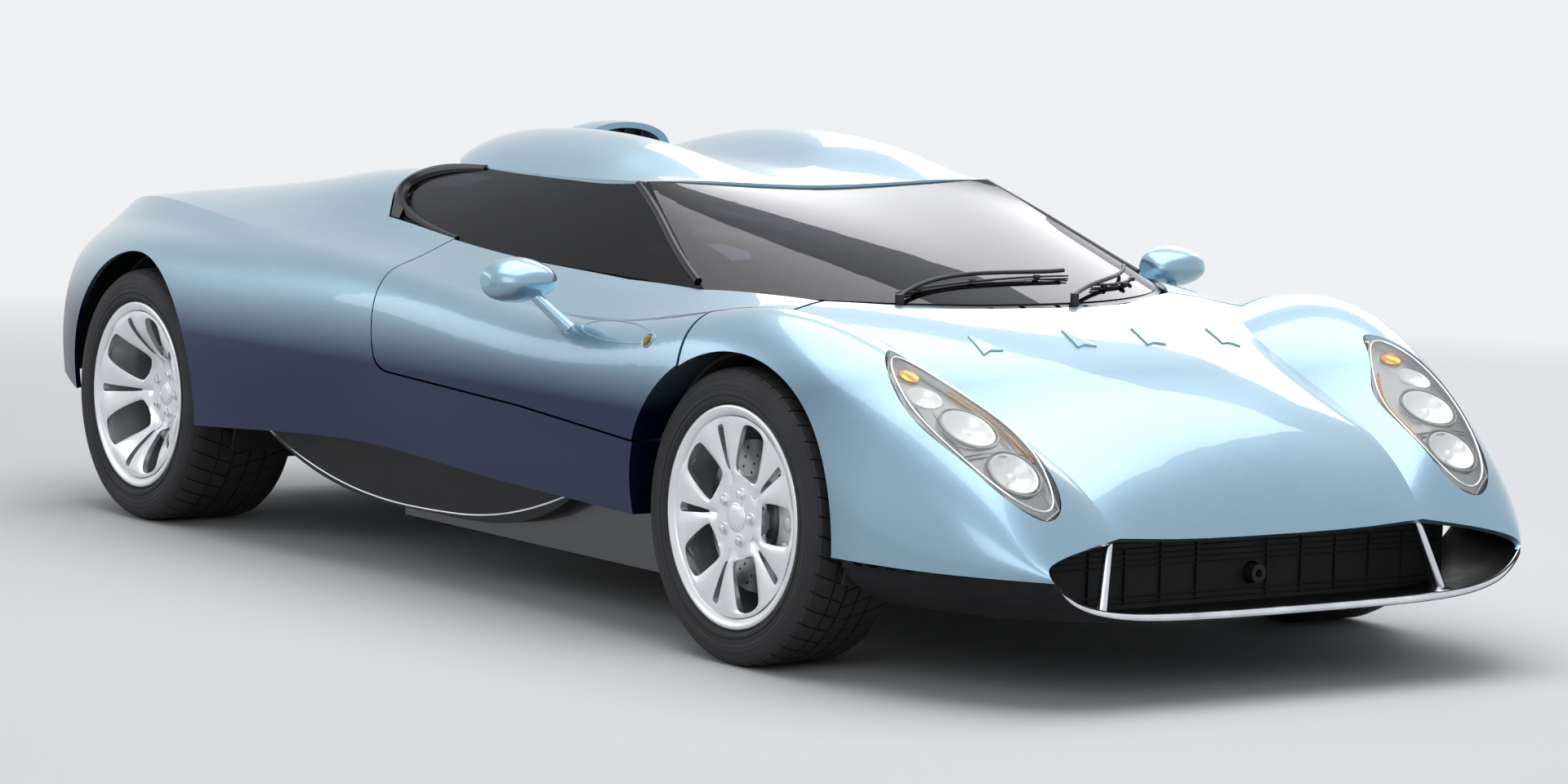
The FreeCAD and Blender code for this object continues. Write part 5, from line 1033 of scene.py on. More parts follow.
class SUPERCAR_OT_headlamps(bpy.types.Operator):
    """Builds the headlamps' housings, bezels, reflectors, bulbs, indicators and rims"""

    bl_idname = "supercar.headlamps"
    bl_label = "Headlamps"

    def execute(self, context):
        cover = "headlamp_covers"
        outline = softened([point[:2] for point in lamp_line(0.93, 0)])
        holes = [circle((x, y), radius * 0.94, 40) for x, y, radius in REFLECTORS]
        bezel = perforated("lamp_bezel_left", outline, holes, 0.003)
        for vertex in bezel.data.vertices:
            vertex.co.z += level_at(cover, vertex.co.x, vertex.co.y) - BEZEL_SINK
        housing = lamp_housing()
        bowls = [on_cover(reflector("bowl", radius), x, y, 0.001 - BEZEL_SINK)
                 for x, y, radius in REFLECTORS]
        rings = []
        for x, y, radius in REFLECTORS[1:]:
            ring = turned("ring", [(radius * 1.16, -0.002), (radius * 1.17, 0.003),
                                   (radius * 1.21, 0.0035), (radius * 1.23, -0.002)], 64)
            rings.append(on_cover(ring, x, y, -BEZEL_SINK))
        for x, reach in LAMP_RIBS:
            points = []
            for step in range(RIB_STEPS + 1):
                y = 0.545 + (reach * 1.75) * step / RIB_STEPS
                bow = x + 0.012 * math.sin(math.pi * step / RIB_STEPS)
                points.append((bow, y, level_at(cover, bow, y) - BEZEL_SINK + 0.002))
            rings.append(wire("rib", points, 0.0022))
        ribs = joined("lamp_ribs_left", rings)
        mirrors = joined("lamp_reflectors_left", bowls)
        edge = wire("lamp_rim_left", lamp_line(0.965, 0.0004), 0.0026, closed=True)
        eye = turned("eye", [(0, 0.012), (0.011, 0.0108), (0.0195, 0.0068), (0.0245, 0),
                             (0.0245, -0.004), (0, -0.004)], 40)
        on_cover(eye, *AMBER_EYE, -0.018)
        streak = [(x, y, level_at(cover, x, y) - 0.014) for x, y in AMBER_STREAK]
        amber = joined("indicator_left", [eye, wire("streak", streak, 0.0032)])
        gathered("lamp_housings", [housing, other_side(housing, "housing")], "lamp_silver",
                 "headlamp_bowls", material="lamp_grey")
        for piece, slot, look in ((bezel, "lamp_silver", "lamp_grey"),
                                  (ribs, "lamp_silver", "lamp_grey"),
                                  (mirrors, "lamp_silver", "reflector"),
                                  (edge, "lamp_silver", "bright_edge"),
                                  (amber, "lamp_glass", "amber_glass")):
            twin = other_side(piece, piece.name.replace("left", "right"))
            for half in (piece, twin):
                done(half, "chassis", slot, material=look)
        return {"FINISHED"}


def bonnet_fin(x, y):
    """An arrowhead scoop: its rim and the floor inside it."""
    corners = [(x - 0.058, y), (x - 0.01, y - 0.014), (x + 0.036, y - 0.027),
               (x + 0.026, y), (x + 0.036, y + 0.027), (x - 0.01, y + 0.014)]
    rim = prism("fin", [(*corner, -0.002) for corner in corners], (0, 0, 0.0065))
    editing(rim)
    pick(rim, lambda face: face.normal.z > 0.9)
    bpy.ops.mesh.inset(thickness=0.0035)
    bpy.ops.transform.translate(value=(0, 0, -0.0035))
    only(rim)
    bevelled(rim, 0.0012, 2, 30)
    floor = prism("floor", [(x + (a - x) * 0.84, y + (b - y) * 0.8, 0.0012)
                            for a, b in corners], (0, 0, 0.0006))
    for piece in (rim, floor):
        for vertex in piece.data.vertices:
            vertex.co.z += level_at("front_clamshell", vertex.co.x, vertex.co.y)
    return rim, floor


class SUPERCAR_OT_nose(bpy.types.Operator):
    """Builds the lip and its bright edge, the radiator's fins and the bonnet's scoops"""

    bl_idname = "supercar.nose"
    bl_label = "Nose"

    def execute(self, context):
        half = [Vector((FRONT_AXLE + ahead * LIP_REACH, out * HALF_WIDTH, up * HEIGHT + 0.0075))
                for ahead, out, up in LIP_EDGE]
        line = sided(reversed(half[1:]), -1) + half
        widths = [0.35, 0.6, 0.85, 1, 1, 1, 1, 1, 0.85, 0.6, 0.35]
        radius = 0.0085
        for point in line:
            point.x -= radius + 0.0008
        done(wire("lip_edge", line, radius, taper=widths), "chassis", "lip_black",
             material="bright_edge")

        stays = []
        for side in (1, -1):
            low, high = sided((STAY_LOW, STAY_HIGH), side)
            low.z = level_at("front_lip", 1.925, side * 0.455) + 0.001
            stays.append(rod("stay", low, high, 0.0125, 20, 0.0085))
            stays.append(moved(spun(turned("foot", [
                (0, 0.008), (0.016, 0.0075), (0.024, 0.004), (0.026, 0), (0.026, -0.006),
                (0, -0.006)], 32), math.pi / 2, "X"), low))
        gathered("lip_stays", stays, "lip_black", material="bright_edge")

        blade = copied("front_lip", "lip_blade")
        back = Matrix.Translation((1.541, 0, 0))
        blade.data.transform(back @ Matrix.Scale(0.9885, 4, AHEAD) @ back.inverted())
        done(blade, "chassis", "lip_black", "front_lip", angle=30)

        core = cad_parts["radiator"]
        fins = []
        for row in range(FIN_ROWS):
            level = FIN_FOOT + FIN_PITCH * row
            reach = 0.0
            while core.ray_cast(Vector((3, reach + 0.02, level)), -AHEAD)[0] and reach < 0.6:
                reach += 0.02
            if reach < 0.1:
                continue
            spans = ((-reach, reach),)
            if abs(level - TOW_SOCKET[1]) < 0.028:
                spans = ((-reach, TOW_SOCKET[0] - 0.026), (TOW_SOCKET[0] + 0.026, reach))
            for low, high in spans:
                fins.append(bar("fin", (CORE_PLANE, (low + high) / 2, level),
                                (0.006, high - low, 0.0026), 0.0008))
        for column in range(1, 6):
            y = 0.1 * column
            top = 0.44 if column < 3 else 0.30
            for side in (1, -1):
                fins.append(bar("fin", (CORE_PLANE, side * y, (0.18 + top) / 2),
                                (0.008, 0.004, top - 0.18), 0.001))
        gathered("radiator_fins", fins, "core_black", angle=30)

        for index, (x, y) in enumerate(FINS):
            for hand, side in SIDES:
                rim, floor = bonnet_fin(x, y * side)
                rim.name = f"bonnet_scoop_{index}_{hand}"
                floor.name = f"bonnet_scoop_floor_{index}_{hand}"
                for piece in (rim, floor):
                    done(piece, "chassis", "body_paint")
        return {"FINISHED"}


# Sides, canopy and tail

SKIRT_EDGE = ((0.264, 0.272), (0.366, 0.176), (0.502, 0.157), (0.604, 0.157), (0.709, 0.188),
              (0.792, 0.247), (0.83, 0.285))
BLADES = (
    ((0.966, -0.325), (0.957, -0.196), (0.946, 0.0), (0.930, 0.20)),
    ((0.975, 0.235), (0.950, 0.330), (0.905, 0.415), (0.840, 0.465)),
)
RECESS_MIDDLE = (0.705, 0.682)
RECESS_HALF = (0.160, 0.021)
REPEATER = (0.84, 0.676)
HOOP = ((-0.40, 0.560, 0.981), (-0.50, 0.566, 0.976), (-0.585, 0.572, 0.966),
        (-0.66, 0.585, 0.945), (-0.694, 0.612, 0.918), (-0.668, 0.642, 0.888),
        (-0.60, 0.664, 0.858), (-0.527, 0.674, 0.841), (-0.416, 0.687, 0.825),
        (-0.31, 0.693, 0.817))
HOOP_WIDTHS = (0.5, 0.75, 1, 1.15, 1.25, 1.25, 1.15, 0.9, 0.6, 0.35)
PILLAR = ((0.209, 0.518, 0.978), (0.311, 0.544, 0.938), (0.417, 0.580, 0.889),
          (0.553, 0.625, 0.824), (0.651, 0.646, 0.785))
MIRROR_MIDDLE = (0.969, 0.775)
ARCH_STEPS = 16
MESH_ROWS = 6
MESH_COLUMNS = 38
MESH_PITCH = (0.0222, 0.0192)
PIPE_OFFSET = 0.095
PIPE_LEVEL = 0.41
TAIL_LAMPS = (0.52, 0.67)
TAIL_LAMP_LEVEL = 0.61
STRAKES = (-0.42, -0.28, -0.14, 0.0, 0.14, 0.28, 0.42)
STRAKE_ROWS = ((-1.60, 0.142, 0.150), (-1.75, 0.140, 0.162), (-1.90, 0.142, 0.176),
               (-1.972, 0.150, 0.184))


def leaning_out(node, x, z, side, reach=0.01):
    """The way that a node's side looks at a place."""
    rear, front, low, high = (side * side_at(node, x + ahead, z + up, side)
                              for ahead, up in ((-reach, 0), (reach, 0), (0, -reach), (0, reach)))
    return Vector((rear - front, 2 * reach * side, low - high))


class SUPERCAR_OT_trim(bpy.types.Operator):
    """Builds the skirts' bright edges, the repeaters, the mirror faces and the wiper blades"""

    bl_idname = "supercar.trim"
    bl_label = "Side trim, mirrors and wipers"

    def execute(self, context):
        for hand, side in SIDES:
            line = [Vector((FRONT_AXLE - back * WHEELBASE, side * 0.8235, up * HEIGHT + 0.003))
                    for back, up in SKIRT_EDGE]
            done(wire(f"skirt_edge_{hand}", line, 0.0032), "chassis", "lip_black",
                 material="bright_edge")

            oval = []
            for x, z in circle((0, 0), 1, 20):
                x = RECESS_MIDDLE[0] + RECESS_HALF[0] * x
                z = RECESS_MIDDLE[1] + RECESS_HALF[1] * z
                oval.append((x, side_at("doors", x, z, side), z))
            done(wire(f"repeater_surround_{hand}", oval, 0.0019, closed=True), "canopy",
                 "body_paint")
            x, z = REPEATER
            place = Vector((x, side_at("doors", x, z, side), z))
            way = leaning_out("doors", x, z, side)
            eye = turned("eye", [(0, 0.0062), (0.007, 0.0055), (0.0125, 0.0032), (0.015, 0.0),
                                 (0.015, -0.004), (0, -0.004)], 32)
            seat = turned("seat", [(0.0152, -0.004), (0.0152, 0.001), (0.0168, 0.0022),
                                   (0.0188, 0.001), (0.0192, -0.004)], 32)
            done(aimed(eye, place, way), "canopy", "lamp_glass", material="amber_glass").name = (
                f"side_repeater_{hand}")
            done(aimed(seat, place, way), "canopy", "body_paint").name = f"repeater_seat_{hand}"

            for name, line, radius, widths in (("rear_hoop", HOOP, 0.017, HOOP_WIDTHS),
                                               ("pillar_strip", PILLAR, 0.010, None)):
                done(wire(f"{name}_{hand}", sided(line, side), radius, taper=widths), "canopy",
                     "gloss_black")

            out, level = side * MIRROR_MIDDLE[0], MIRROR_MIDDLE[1]
            glass = perforated(f"mirror_glass_{hand}", circle((0, 0), 1, 48), [], 0.002)
            modified(glass, "SUBSURF", levels=1, render_levels=1, subdivision_type="SIMPLE")
            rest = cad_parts["mirrors"].ray_cast(Vector((-3, out, level)), AHEAD)[1].x
            for vertex in glass.data.vertices:
                y, z = out + 0.062 * vertex.co.x, level + 0.035 * vertex.co.y
                vertex.co = Vector((rest - 0.0018 + vertex.co.z, y, z))
            rim = [(rest - 0.001, out + 0.0625 * y, level + 0.0355 * z)
                   for y, z in circle((0, 0), 1, 24)]
            merged(glass)
            done(glass, "canopy", "gloss_black", material="mirror_face")
            done(wire(f"mirror_rim_{hand}", rim, 0.0036, closed=True), "canopy", "gloss_black")

        for index, line in enumerate(BLADES):
            low = [Vector((x, y, level_at("windscreen", x, y) + 0.0028)) for x, y in line]
            high = [point + UP * 0.0068 + AHEAD * 0.001 for point in low]
            parts = [wire("rubber", low, 0.0021), wire("spine", high, 0.0034,
                                                       taper=(0.6, 1, 1, 0.6))]
            for first, last in zip(high, high[1:]):
                middle = (first + last) / 2
                parts.append(bar("yoke", middle - UP * 0.001, (0.010, 0.016, 0.009), 0.002))
            gathered(f"wiper_blade_{index}", parts, "satin_black", body="canopy")
        return {"FINISHED"}


class SUPERCAR_OT_scoop(bpy.types.Operator):
    """Builds a dark plug in the roof scoop's mouth, painted shade for its hollow throat, and the
    vanes in it
    """

    bl_idname = "supercar.scoop"
    bl_label = "Roof scoop"

    def execute(self, context):
        x = FRONT_AXLE - 0.683 * WHEELBASE
        half, low, rise = 0.132 * HALF_WIDTH * 0.86, 0.921 * HEIGHT, 0.083 * HEIGHT * 0.86
        arch = []
        for step in range(ARCH_STEPS + 1):
            turn = math.pi * step / ARCH_STEPS
            arch.append((x, half * math.cos(turn), low + rise * math.sin(turn) ** 0.6))
        # Painted shade: a dark block closes the scoop's mouth where its hollow throat would lie in
        # shade.
        throat = prism("scoop_throat", arch, (-0.012, 0, 0))
        done(bevelled(throat, 0.001, 1), "canopy", "gloss_black", material="core_black")
        vanes = []
        for y in (-0.05, 0.0, 0.05):
            tall = rise * (1 - (y / half) ** 2) ** 0.3 * 0.94
            vanes.append(bar("vane", (x + 0.012, y, low + tall / 2), (0.024, 0.0035, tall), 0.001))
        gathered("scoop_vanes", vanes, "gloss_black", body="canopy")
        return {"FINISHED"}


class SUPERCAR_OT_tail(bpy.types.Operator):
    """Builds the tail lamps, the mesh between them, the pipe tips and the strakes"""

    bl_idname = "supercar.tail"
    bl_label = "Tail"

    def execute(self, context):
        rims, lenses = [], []
        for offset in TAIL_LAMPS:
            for side in (1, -1):
                place = Vector((-1.976, side * offset, TAIL_LAMP_LEVEL))
                rim = turned("rim", [(0.044, -0.012), (0.044, 0.007), (0.0455, 0.0105),
                                     (0.048, 0.0118), (0.0508, 0.010), (0.052, 0.006),
                                     (0.052, -0.012)], 64)
                lens = turned("lens", [
                    (0, 0.0098), (0.010, 0.0096), (0.0185, 0.0088), (0.0195, 0.0072),
                    (0.0215, 0.0072), (0.0225, 0.0085), (0.034, 0.0066), (0.035, 0.0052),
                    (0.0365, 0.0052), (0.0375, 0.0058), (0.044, 0.003), (0.044, -0.010),
                    (0, -0.010)], 64)
                rims.append(aimed(rim, place, -AHEAD))
                lenses.append(aimed(lens, place, -AHEAD))
        gathered("tail_lamp_rims", rims, "lamp_silver")
        gathered("tail_lamp_lenses", lenses, "lamp_red", "tail_lamps")

        holes = []
        across, over = MESH_PITCH
        for row in range(MESH_ROWS):
            for column in range(MESH_COLUMNS):
                y = -0.412 + across * column + (across / 2 if row % 2 else 0)
                holes.append(circle((y, over * (row - 2.5)), 0.0094, 6, math.pi / 6))
        outline = [(-0.435, -0.062), (0.435, -0.062), (0.443, -0.05), (0.443, 0.05),
                   (0.435, 0.062), (-0.435, 0.062), (-0.443, 0.05), (-0.443, -0.05)]
        mesh = perforated("tail_mesh", outline, holes, 0.003)
        aimed(spun(mesh, math.pi / 2, "X"), (-1.9675, 0, TAIL_LAMP_LEVEL), -AHEAD)
        done(mesh, "chassis", "satin_black")
        edge = [(-1.968, y, z) for y, z in (
            (-0.448, 0.546), (0, 0.545), (0.448, 0.546), (0.452, 0.61), (0.448, 0.674),
            (0, 0.675), (-0.448, 0.674), (-0.452, 0.61))]
        done(wire("tail_mesh_edge", edge, 0.004, smooth=False, closed=True), "chassis",
             "gloss_black")

        tips, baffles = [], []
        for side in (1, -1):
            place = Vector((-1.9985, side * PIPE_OFFSET, PIPE_LEVEL))
            tip = turned("tip", [(0.0462, -0.07), (0.0462, -0.004), (0.0475, 0.0016),
                                 (0.0505, 0.0028), (0.0528, 0.0008), (0.0532, -0.005),
                                 (0.0528, -0.07)], 64)
            tips.append(aimed(tip, place, -AHEAD))
            pores = [point for ring, count in ((0.012, 6), (0.024, 12), (0.036, 18))
                     for point in circle((0, 0), ring, count)]
            baffle = perforated("baffle", circle((0, 0), 0.0462, 48),
                                [circle(pore, 0.0038, 10) for pore in pores], 0.003)
            baffles.append(aimed(spun(baffle, math.pi / 2, "X"), place + AHEAD * 0.055, -AHEAD))
        gathered("pipe_tips", tips, "pipe_steel")
        gathered("pipe_baffles", baffles, "dark_steel")

        strakes = []
        for y in STRAKES:
            rows = [[(x, y, low), (x, y, high)] for x, low, high in STRAKE_ROWS]
            strakes.append(thickened(net("strake", rows), 0.006, LEFT, 0.0015))
        gathered("diffuser_strakes", strakes, "satin_black")
        return {"FINISHED"}


# Cabin

SEAT_OFFSET = 0.385
SEAT_SHELL = ((0.362, 0.262), (0.352, 0.286), (0.26, 0.292), (0.10, 0.262), (-0.03, 0.238),
              (-0.095, 0.250), (-0.135, 0.325), (-0.19, 0.465), (-0.25, 0.61), (-0.295, 0.715),
              (-0.318, 0.765), (-0.330, 0.772))
SHELL_WINGS = ((-0.232, 0.075), (-0.226, 0.082), (-0.212, 0.055), (-0.165, 0.012), (-0.08, 0.002),
               (0.0, 0.0), (0.08, 0.002), (0.165, 0.012), (0.212, 0.055), (0.226, 0.082),
               (0.232, 0.075))
PADS = (
    ("squab", (0.150, 0.0, 0.312), (0.38, 0.27, 0.056), -10, 0.7),
    ("backrest", (-0.160, 0.0, 0.480), (0.30, 0.27, 0.048), -112, 0.7),
    ("headrest", (-0.250, 0.0, 0.702), (0.10, 0.20, 0.044), -112, 0.8),
    ("squab_bolster_near", (0.135, 0.171, 0.332), (0.35, 0.046, 0.072), -10, 0.8),
    ("squab_bolster_far", (0.135, -0.171, 0.332), (0.35, 0.046, 0.072), -10, 0.8),
    ("back_bolster_near", (-0.150, 0.171, 0.490), (0.28, 0.046, 0.076), -112, 0.8),
    ("back_bolster_far", (-0.150, -0.171, 0.490), (0.28, 0.046, 0.076), -112, 0.8),
)
PAD_CAP = 0.011
BELT_LINE = ((-0.318, 0.760), (-0.262, 0.772), (-0.215, 0.71), (-0.165, 0.60), (-0.108, 0.47),
             (-0.062, 0.385), (0.0, 0.362))
BELT_WIDTH = (-0.024, -0.012, 0, 0.012, 0.024)
WHEEL_PLACE = Vector((0.397, -0.385, 0.640))
WHEEL_WAY = Vector((-0.92718, 0, 0.37461))
SPOKE_ROWS = ((0.030, 0.030, -0.016), (0.060, 0.024, -0.013), (0.100, 0.017, -0.007),
              (0.140, 0.015, -0.001), (0.166, 0.019, 0.001))
DIALS = ((-0.385, 0.046), (-0.475, 0.032), (-0.295, 0.032))
DIAL_WAY = Vector((-0.95, 0, 0.31))
DIAL_MARKS = 11
# Each arch of the hood over the dials: how far ahead, its foot, its rise and half its width.
HOOD = ((0.572, 0.694, 0.070, 0.150), (0.62, 0.700, 0.072, 0.156), (0.69, 0.709, 0.050, 0.148),
        (0.77, 0.716, 0.012, 0.120))
HOOD_STEPS = 10
VENTS = (-0.09, 0.09, 0.46, -0.51)
SETTLING_FRAMES = 20


def pad_start(name, place, size, lean):
    """A block with rounded edges and pulled-in corners, leaning as its seat does."""
    only()
    bpy.ops.mesh.primitive_cube_add(size=1, scale=size)
    piece = settled(added(name))
    editing(piece)
    bpy.ops.mesh.subdivide(number_cuts=7)
    only(piece)
    length, width = (Vector(size) / 2).xy
    for vertex in piece.data.vertices:
        across, over = vertex.co.x / length, vertex.co.y / width
        pull = 1 - 0.05 * (across * over) ** 2
        crown = 1 - 0.35 * max(abs(across), abs(over)) ** 4
        vertex.co = Vector((vertex.co.x * pull, vertex.co.y * pull, vertex.co.z * crown))
    bevelled(piece, min(size) * 0.22, 3)
    spun(piece, math.radians(lean), "Y")
    return moved(piece, place)


def inflated(piece, voxel=0.006):
    """Swells a pad as stuffed leather does, no further than the cap."""
    modified(piece, "REMESH", mode="VOXEL", voxel_size=voxel)
    before = [vertex.co.copy() for vertex in piece.data.vertices]
    only(piece)
    step = piece.modifiers.new("Cloth", "CLOTH")
    step.settings.quality = 5
    step.settings.mass = 0.2
    step.settings.tension_stiffness = 12
    step.settings.bending_stiffness = 2
    step.settings.use_pressure = True
    step.settings.uniform_pressure_force = 4
    step.settings.effector_weights.gravity = 0
    step.point_cache.frame_start, step.point_cache.frame_end = 1, SETTLING_FRAMES
    for moment in range(1, SETTLING_FRAMES + 1):
        bpy.context.scene.frame_set(moment)
    bpy.ops.object.modifier_apply(modifier=step.name)
    bpy.context.scene.frame_set(1)
    for vertex, rest in zip(piece.data.vertices, before):
        way = vertex.co - rest
        if way.length > PAD_CAP:
            vertex.co = rest + way * (PAD_CAP / way.length)
    return modified(piece, "SUBSURF", levels=1, render_levels=1)


def seat_shell(name):
    rows = []
    last = len(SEAT_SHELL) - 1
    for index, (x, z) in enumerate(SEAT_SHELL):
        before = Vector(SEAT_SHELL[max(index - 1, 0)])
        after = Vector(SEAT_SHELL[min(index + 1, last)])
        way = (after - before).normalized()
        lift = Vector((-way.y, way.x)) * -1
        share = 0.35 if index in (0, 1, last) else 0.6 if index >= last - 2 else 1
        rows.append([(x + lift.x * wing * share, y, z + lift.y * wing * share)
                     for y, wing in SHELL_WINGS])
    return thickened(net(name, rows), 0.007, UP + AHEAD, 0.0, 1)


class SUPERCAR_OT_seats(bpy.types.Operator):
    """Builds the seats: hard shells, swollen leather pads, runners, belts and buckles"""

    bl_idname = "supercar.seats"
    bl_label = "Seats"

    def execute(self, context):
        for hand, side in SIDES:
            away = (0, side * SEAT_OFFSET, 0)
            shell = moved(seat_shell(f"seat_shell_{hand}"), away)
            done(shell, "chassis", "carbon_black", "seats")
            feet = [bar("runner", (0.08, side * SEAT_OFFSET + y, 0.203), (0.40, 0.03, 0.062), 0.006)
                    for y in (-0.15, 0.15)]
            feet.append(bar("rail", (-0.04, side * SEAT_OFFSET, 0.212), (0.05, 0.33, 0.03), 0.005))
            gathered(f"seat_runners_{hand}", feet, "satin_black")
        for name, place, size, lean, fill in PADS:
            pad = inflated(pad_start(name, place, size, lean))
            for hand, side in SIDES:
                twin = moved(duplicate(pad, f"seat_{name}_{hand}"), (0, side * SEAT_OFFSET, 0))
                done(twin, "chassis", "seat_leather", angle=60)
            removed(pad)
        for hand, side in SIDES:
            belts = []
            for y in (-0.07, 0.07):
                rows = []
                for x, z in BELT_LINE:
                    lean = y * (1 - 0.6 * ease((x + 0.25) / 0.25))
                    rows.append([(x, side * SEAT_OFFSET + lean + w, z + 0.010)
                                 for w in BELT_WIDTH])
                belts.append(thickened(net("belt", rows), 0.0022, UP + AHEAD, 0, 1))
            buckle = bar("buckle", (0.006, side * SEAT_OFFSET, 0.374), (0.05, 0.052, 0.014), 0.005)
            gathered(f"harness_{hand}", belts, "seat_leather", material="webbing")
            done(buckle, "chassis", "dark_steel").name = f"harness_buckle_{hand}"
        return {"FINISHED"}


class SUPERCAR_OT_controls(bpy.types.Operator):
    """Builds the steering wheel, the dials, the vents, the switches and the lever"""

    bl_idname = "supercar.controls"
    bl_label = "Dashboard and controls"

    def execute(self, context):
        grip = turned("grip", [(0.175 + 0.0148 * across, 0.0155 * out)
                               for across, out in circle((0, 0), 1, 14)], 96)
        aimed(grip, WHEEL_PLACE, WHEEL_WAY)
        seam = turned("grip_seam", [(0.1595, -0.0012), (0.1588, 0), (0.1595, 0.0012),
                                    (0.1606, 0.0012), (0.1606, -0.0012)], 96)
        done(grip, "steering", "grip_leather", "steering_wheel")
        done(aimed(seam, WHEEL_PLACE, WHEEL_WAY), "steering", "grip_leather",
             material="stitching")
        spokes = []
        for angle in (0, math.pi / 2, math.pi):
            rows = [[(reach, lift + 0.003, width), (reach, lift + 0.006, 0),
                     (reach, lift + 0.003, -width)] for reach, width, lift in SPOKE_ROWS]
            spoke = thickened(net("spoke", rows), 0.006, LEFT, 0.0012, 1)
            spokes.append(spun(spoke, angle))
        boss = turned("boss", [(0, 0.004), (0.020, 0.003), (0.034, -0.002), (0.042, -0.010),
                               (0.044, -0.020), (0.036, -0.034), (0.026, -0.062), (0, -0.062)],
                      48)
        done(aimed(joined("wheel_spokes", spokes), WHEEL_PLACE, WHEEL_WAY), "steering",
             "satin_black", angle=30)
        done(aimed(boss, WHEEL_PLACE, WHEEL_WAY), "steering", "satin_black",
             material="gloss_black").name = "wheel_boss"

        dials, faces = [], []
        for y, radius in DIALS:
            place, way = Vector((0.596, y, 0.712)), DIAL_WAY
            cup = turned("cup", [(radius * 0.94, 0.002), (radius, 0.006), (radius * 1.06, 0.004),
                                 (radius * 1.08, -0.045), (radius * 0.94, -0.045)], 48)
            face = turned("face", [(0, -0.006), (radius * 0.95, -0.006), (radius * 0.95, -0.01),
                                   (0, -0.01)], 48)
            dials.append(aimed(cup, place, way))
            faces.append(aimed(face, place, way))
            for step in range(DIAL_MARKS):
                mark = bar("mark", (radius * 0.82, -0.0055, 0), (radius * 0.14, 0.001, 0.0016), 0)
                spun(mark, math.radians(-45 + 27 * step))
                faces.append(aimed(mark, place, way))
        gathered("dial_cups", dials, "gloss_black")
        gathered("dial_faces", faces, "satin_black", material="dial_face")
        hood_rows = []
        for x, foot, rise, half in HOOD:
            row = []
            for step in range(HOOD_STEPS + 1):
                turn = math.pi * step / HOOD_STEPS
                row.append((x, -0.385 + half * math.cos(turn),
                            foot + rise * math.sin(turn) ** 0.7))
            hood_rows.append(row)
        done(thickened(net("dial_hood", hood_rows), 0.006, UP, 0, 2), "chassis", "dash_leather")

        vents = []
        for y in VENTS:
            vent = [turned("ring", [(0.024, -0.01), (0.024, 0.003), (0.0265, 0.005),
                                    (0.029, 0.002), (0.029, -0.01)], 40)]
            for level in (-0.014, -0.0047, 0.0047, 0.014):
                wide = 2 * math.sqrt(0.0245 ** 2 - level ** 2)
                vent.append(bar("slat", (0, 0.001, level), (wide, 0.007, 0.002), 0.0006))
            vents.append(aimed(joined("vent", vent), (0.590, y, 0.641), (-0.9, 0, 0.44)))
        gathered("air_vents", vents, "satin_black", material="bright_edge")
        line = [(0.66, y, level_at("dashboard", 0.66, y) + 0.0008)
                for y in (-0.52, -0.35, -0.18, 0.0, 0.18, 0.35, 0.52)]
        done(wire("dash_seam", line, 0.0012), "chassis", "dash_leather", material="stitching")

        done(bar("console", (0.20, 0.0, 0.374), (0.42, 0.16, 0.05), 0.014), "chassis",
             "carbon_black")
        knob = turned("knob", [(0, 0.021), (0.010, 0.0195), (0.018, 0.012), (0.0205, 0.0),
                               (0.017, -0.012), (0.009, -0.019), (0, -0.019)], 32)
        spun(knob, math.pi / 2, "X")
        lever = [moved(knob, (0.235, 0, 0.505)),
                 rod("stem", (0.24, 0, 0.395), (0.235, 0, 0.492), 0.0065, 16, 0.005)]
        for step in range(5):
            for y in (0.045, -0.045):
                lever.append(bar("switch", (0.10 + 0.03 * step, y, 0.403),
                                 (0.018, 0.024, 0.012), 0.003))
        gathered("gear_lever_and_switches", lever, "satin_black", material="lamp_grey")
        return {"FINISHED"}


# Engine

BANK_LEAN = math.radians(36)
BLOCK_MIDDLE = -0.72
SHAFT_LEVEL = 0.335
CYLINDERS = (-0.500, -0.610, -0.720, -0.830, -0.940)
# An intake runner's distances out and up, and a pipe's distances back, out and up. The other
# lines hold whole places on the left side.
RUNNER = ((0.075, 0.715), (0.120, 0.70), (0.135, 0.66), (0.085, 0.60), (0.070, 0.565),
          (0.065, 0.52))
THROAT = ((-1.01, 0.062, 0.735), (-1.07, 0.062, 0.735))
COLLECTOR = ((-1.08, 0.255, 0.33), (-1.24, 0.235, 0.345))
DOWNPIPE = ((-1.22, 0.237, 0.344), (-1.32, 0.215, 0.36), (-1.38, 0.17, 0.39), (-1.44, 0.12, 0.41),
            (-1.555, PIPE_OFFSET, PIPE_LEVEL))
HOSE = ((-0.42, 0.05, 0.47), (-0.402, 0.06, 0.54), (-0.41, 0.13, 0.60), (-0.44, 0.19, 0.62),
        (-0.50, 0.22, 0.60))
FUEL_RAIL = ((-0.47, 0.118, 0.745), (-0.72, 0.122, 0.75), (-0.97, 0.118, 0.745))
PIPE = ((0, 0.155, 0.445), (0, 0.225, 0.43), (0.01, 0.262, 0.40), (0.06, 0.268, 0.345),
        (0.16, 0.264, 0.33))


def ribbed(name, middle, size, ribs, soft=0.010):
    """A cast box with upright ribs along its sides."""
    parts = [bar(name, middle, size, soft)]
    bevelled(parts[0], 0.0015, 1, 60)
    pitch = size[0] / (ribs + 1)
    for step in range(ribs):
        x = middle[0] - size[0] / 2 + pitch * (step + 1)
        parts.append(bar("rib", (x, middle[1], middle[2]),
                         (0.007, size[1] + 0.014, size[2] * 0.86), 0.0025))
    return joined(name, parts)


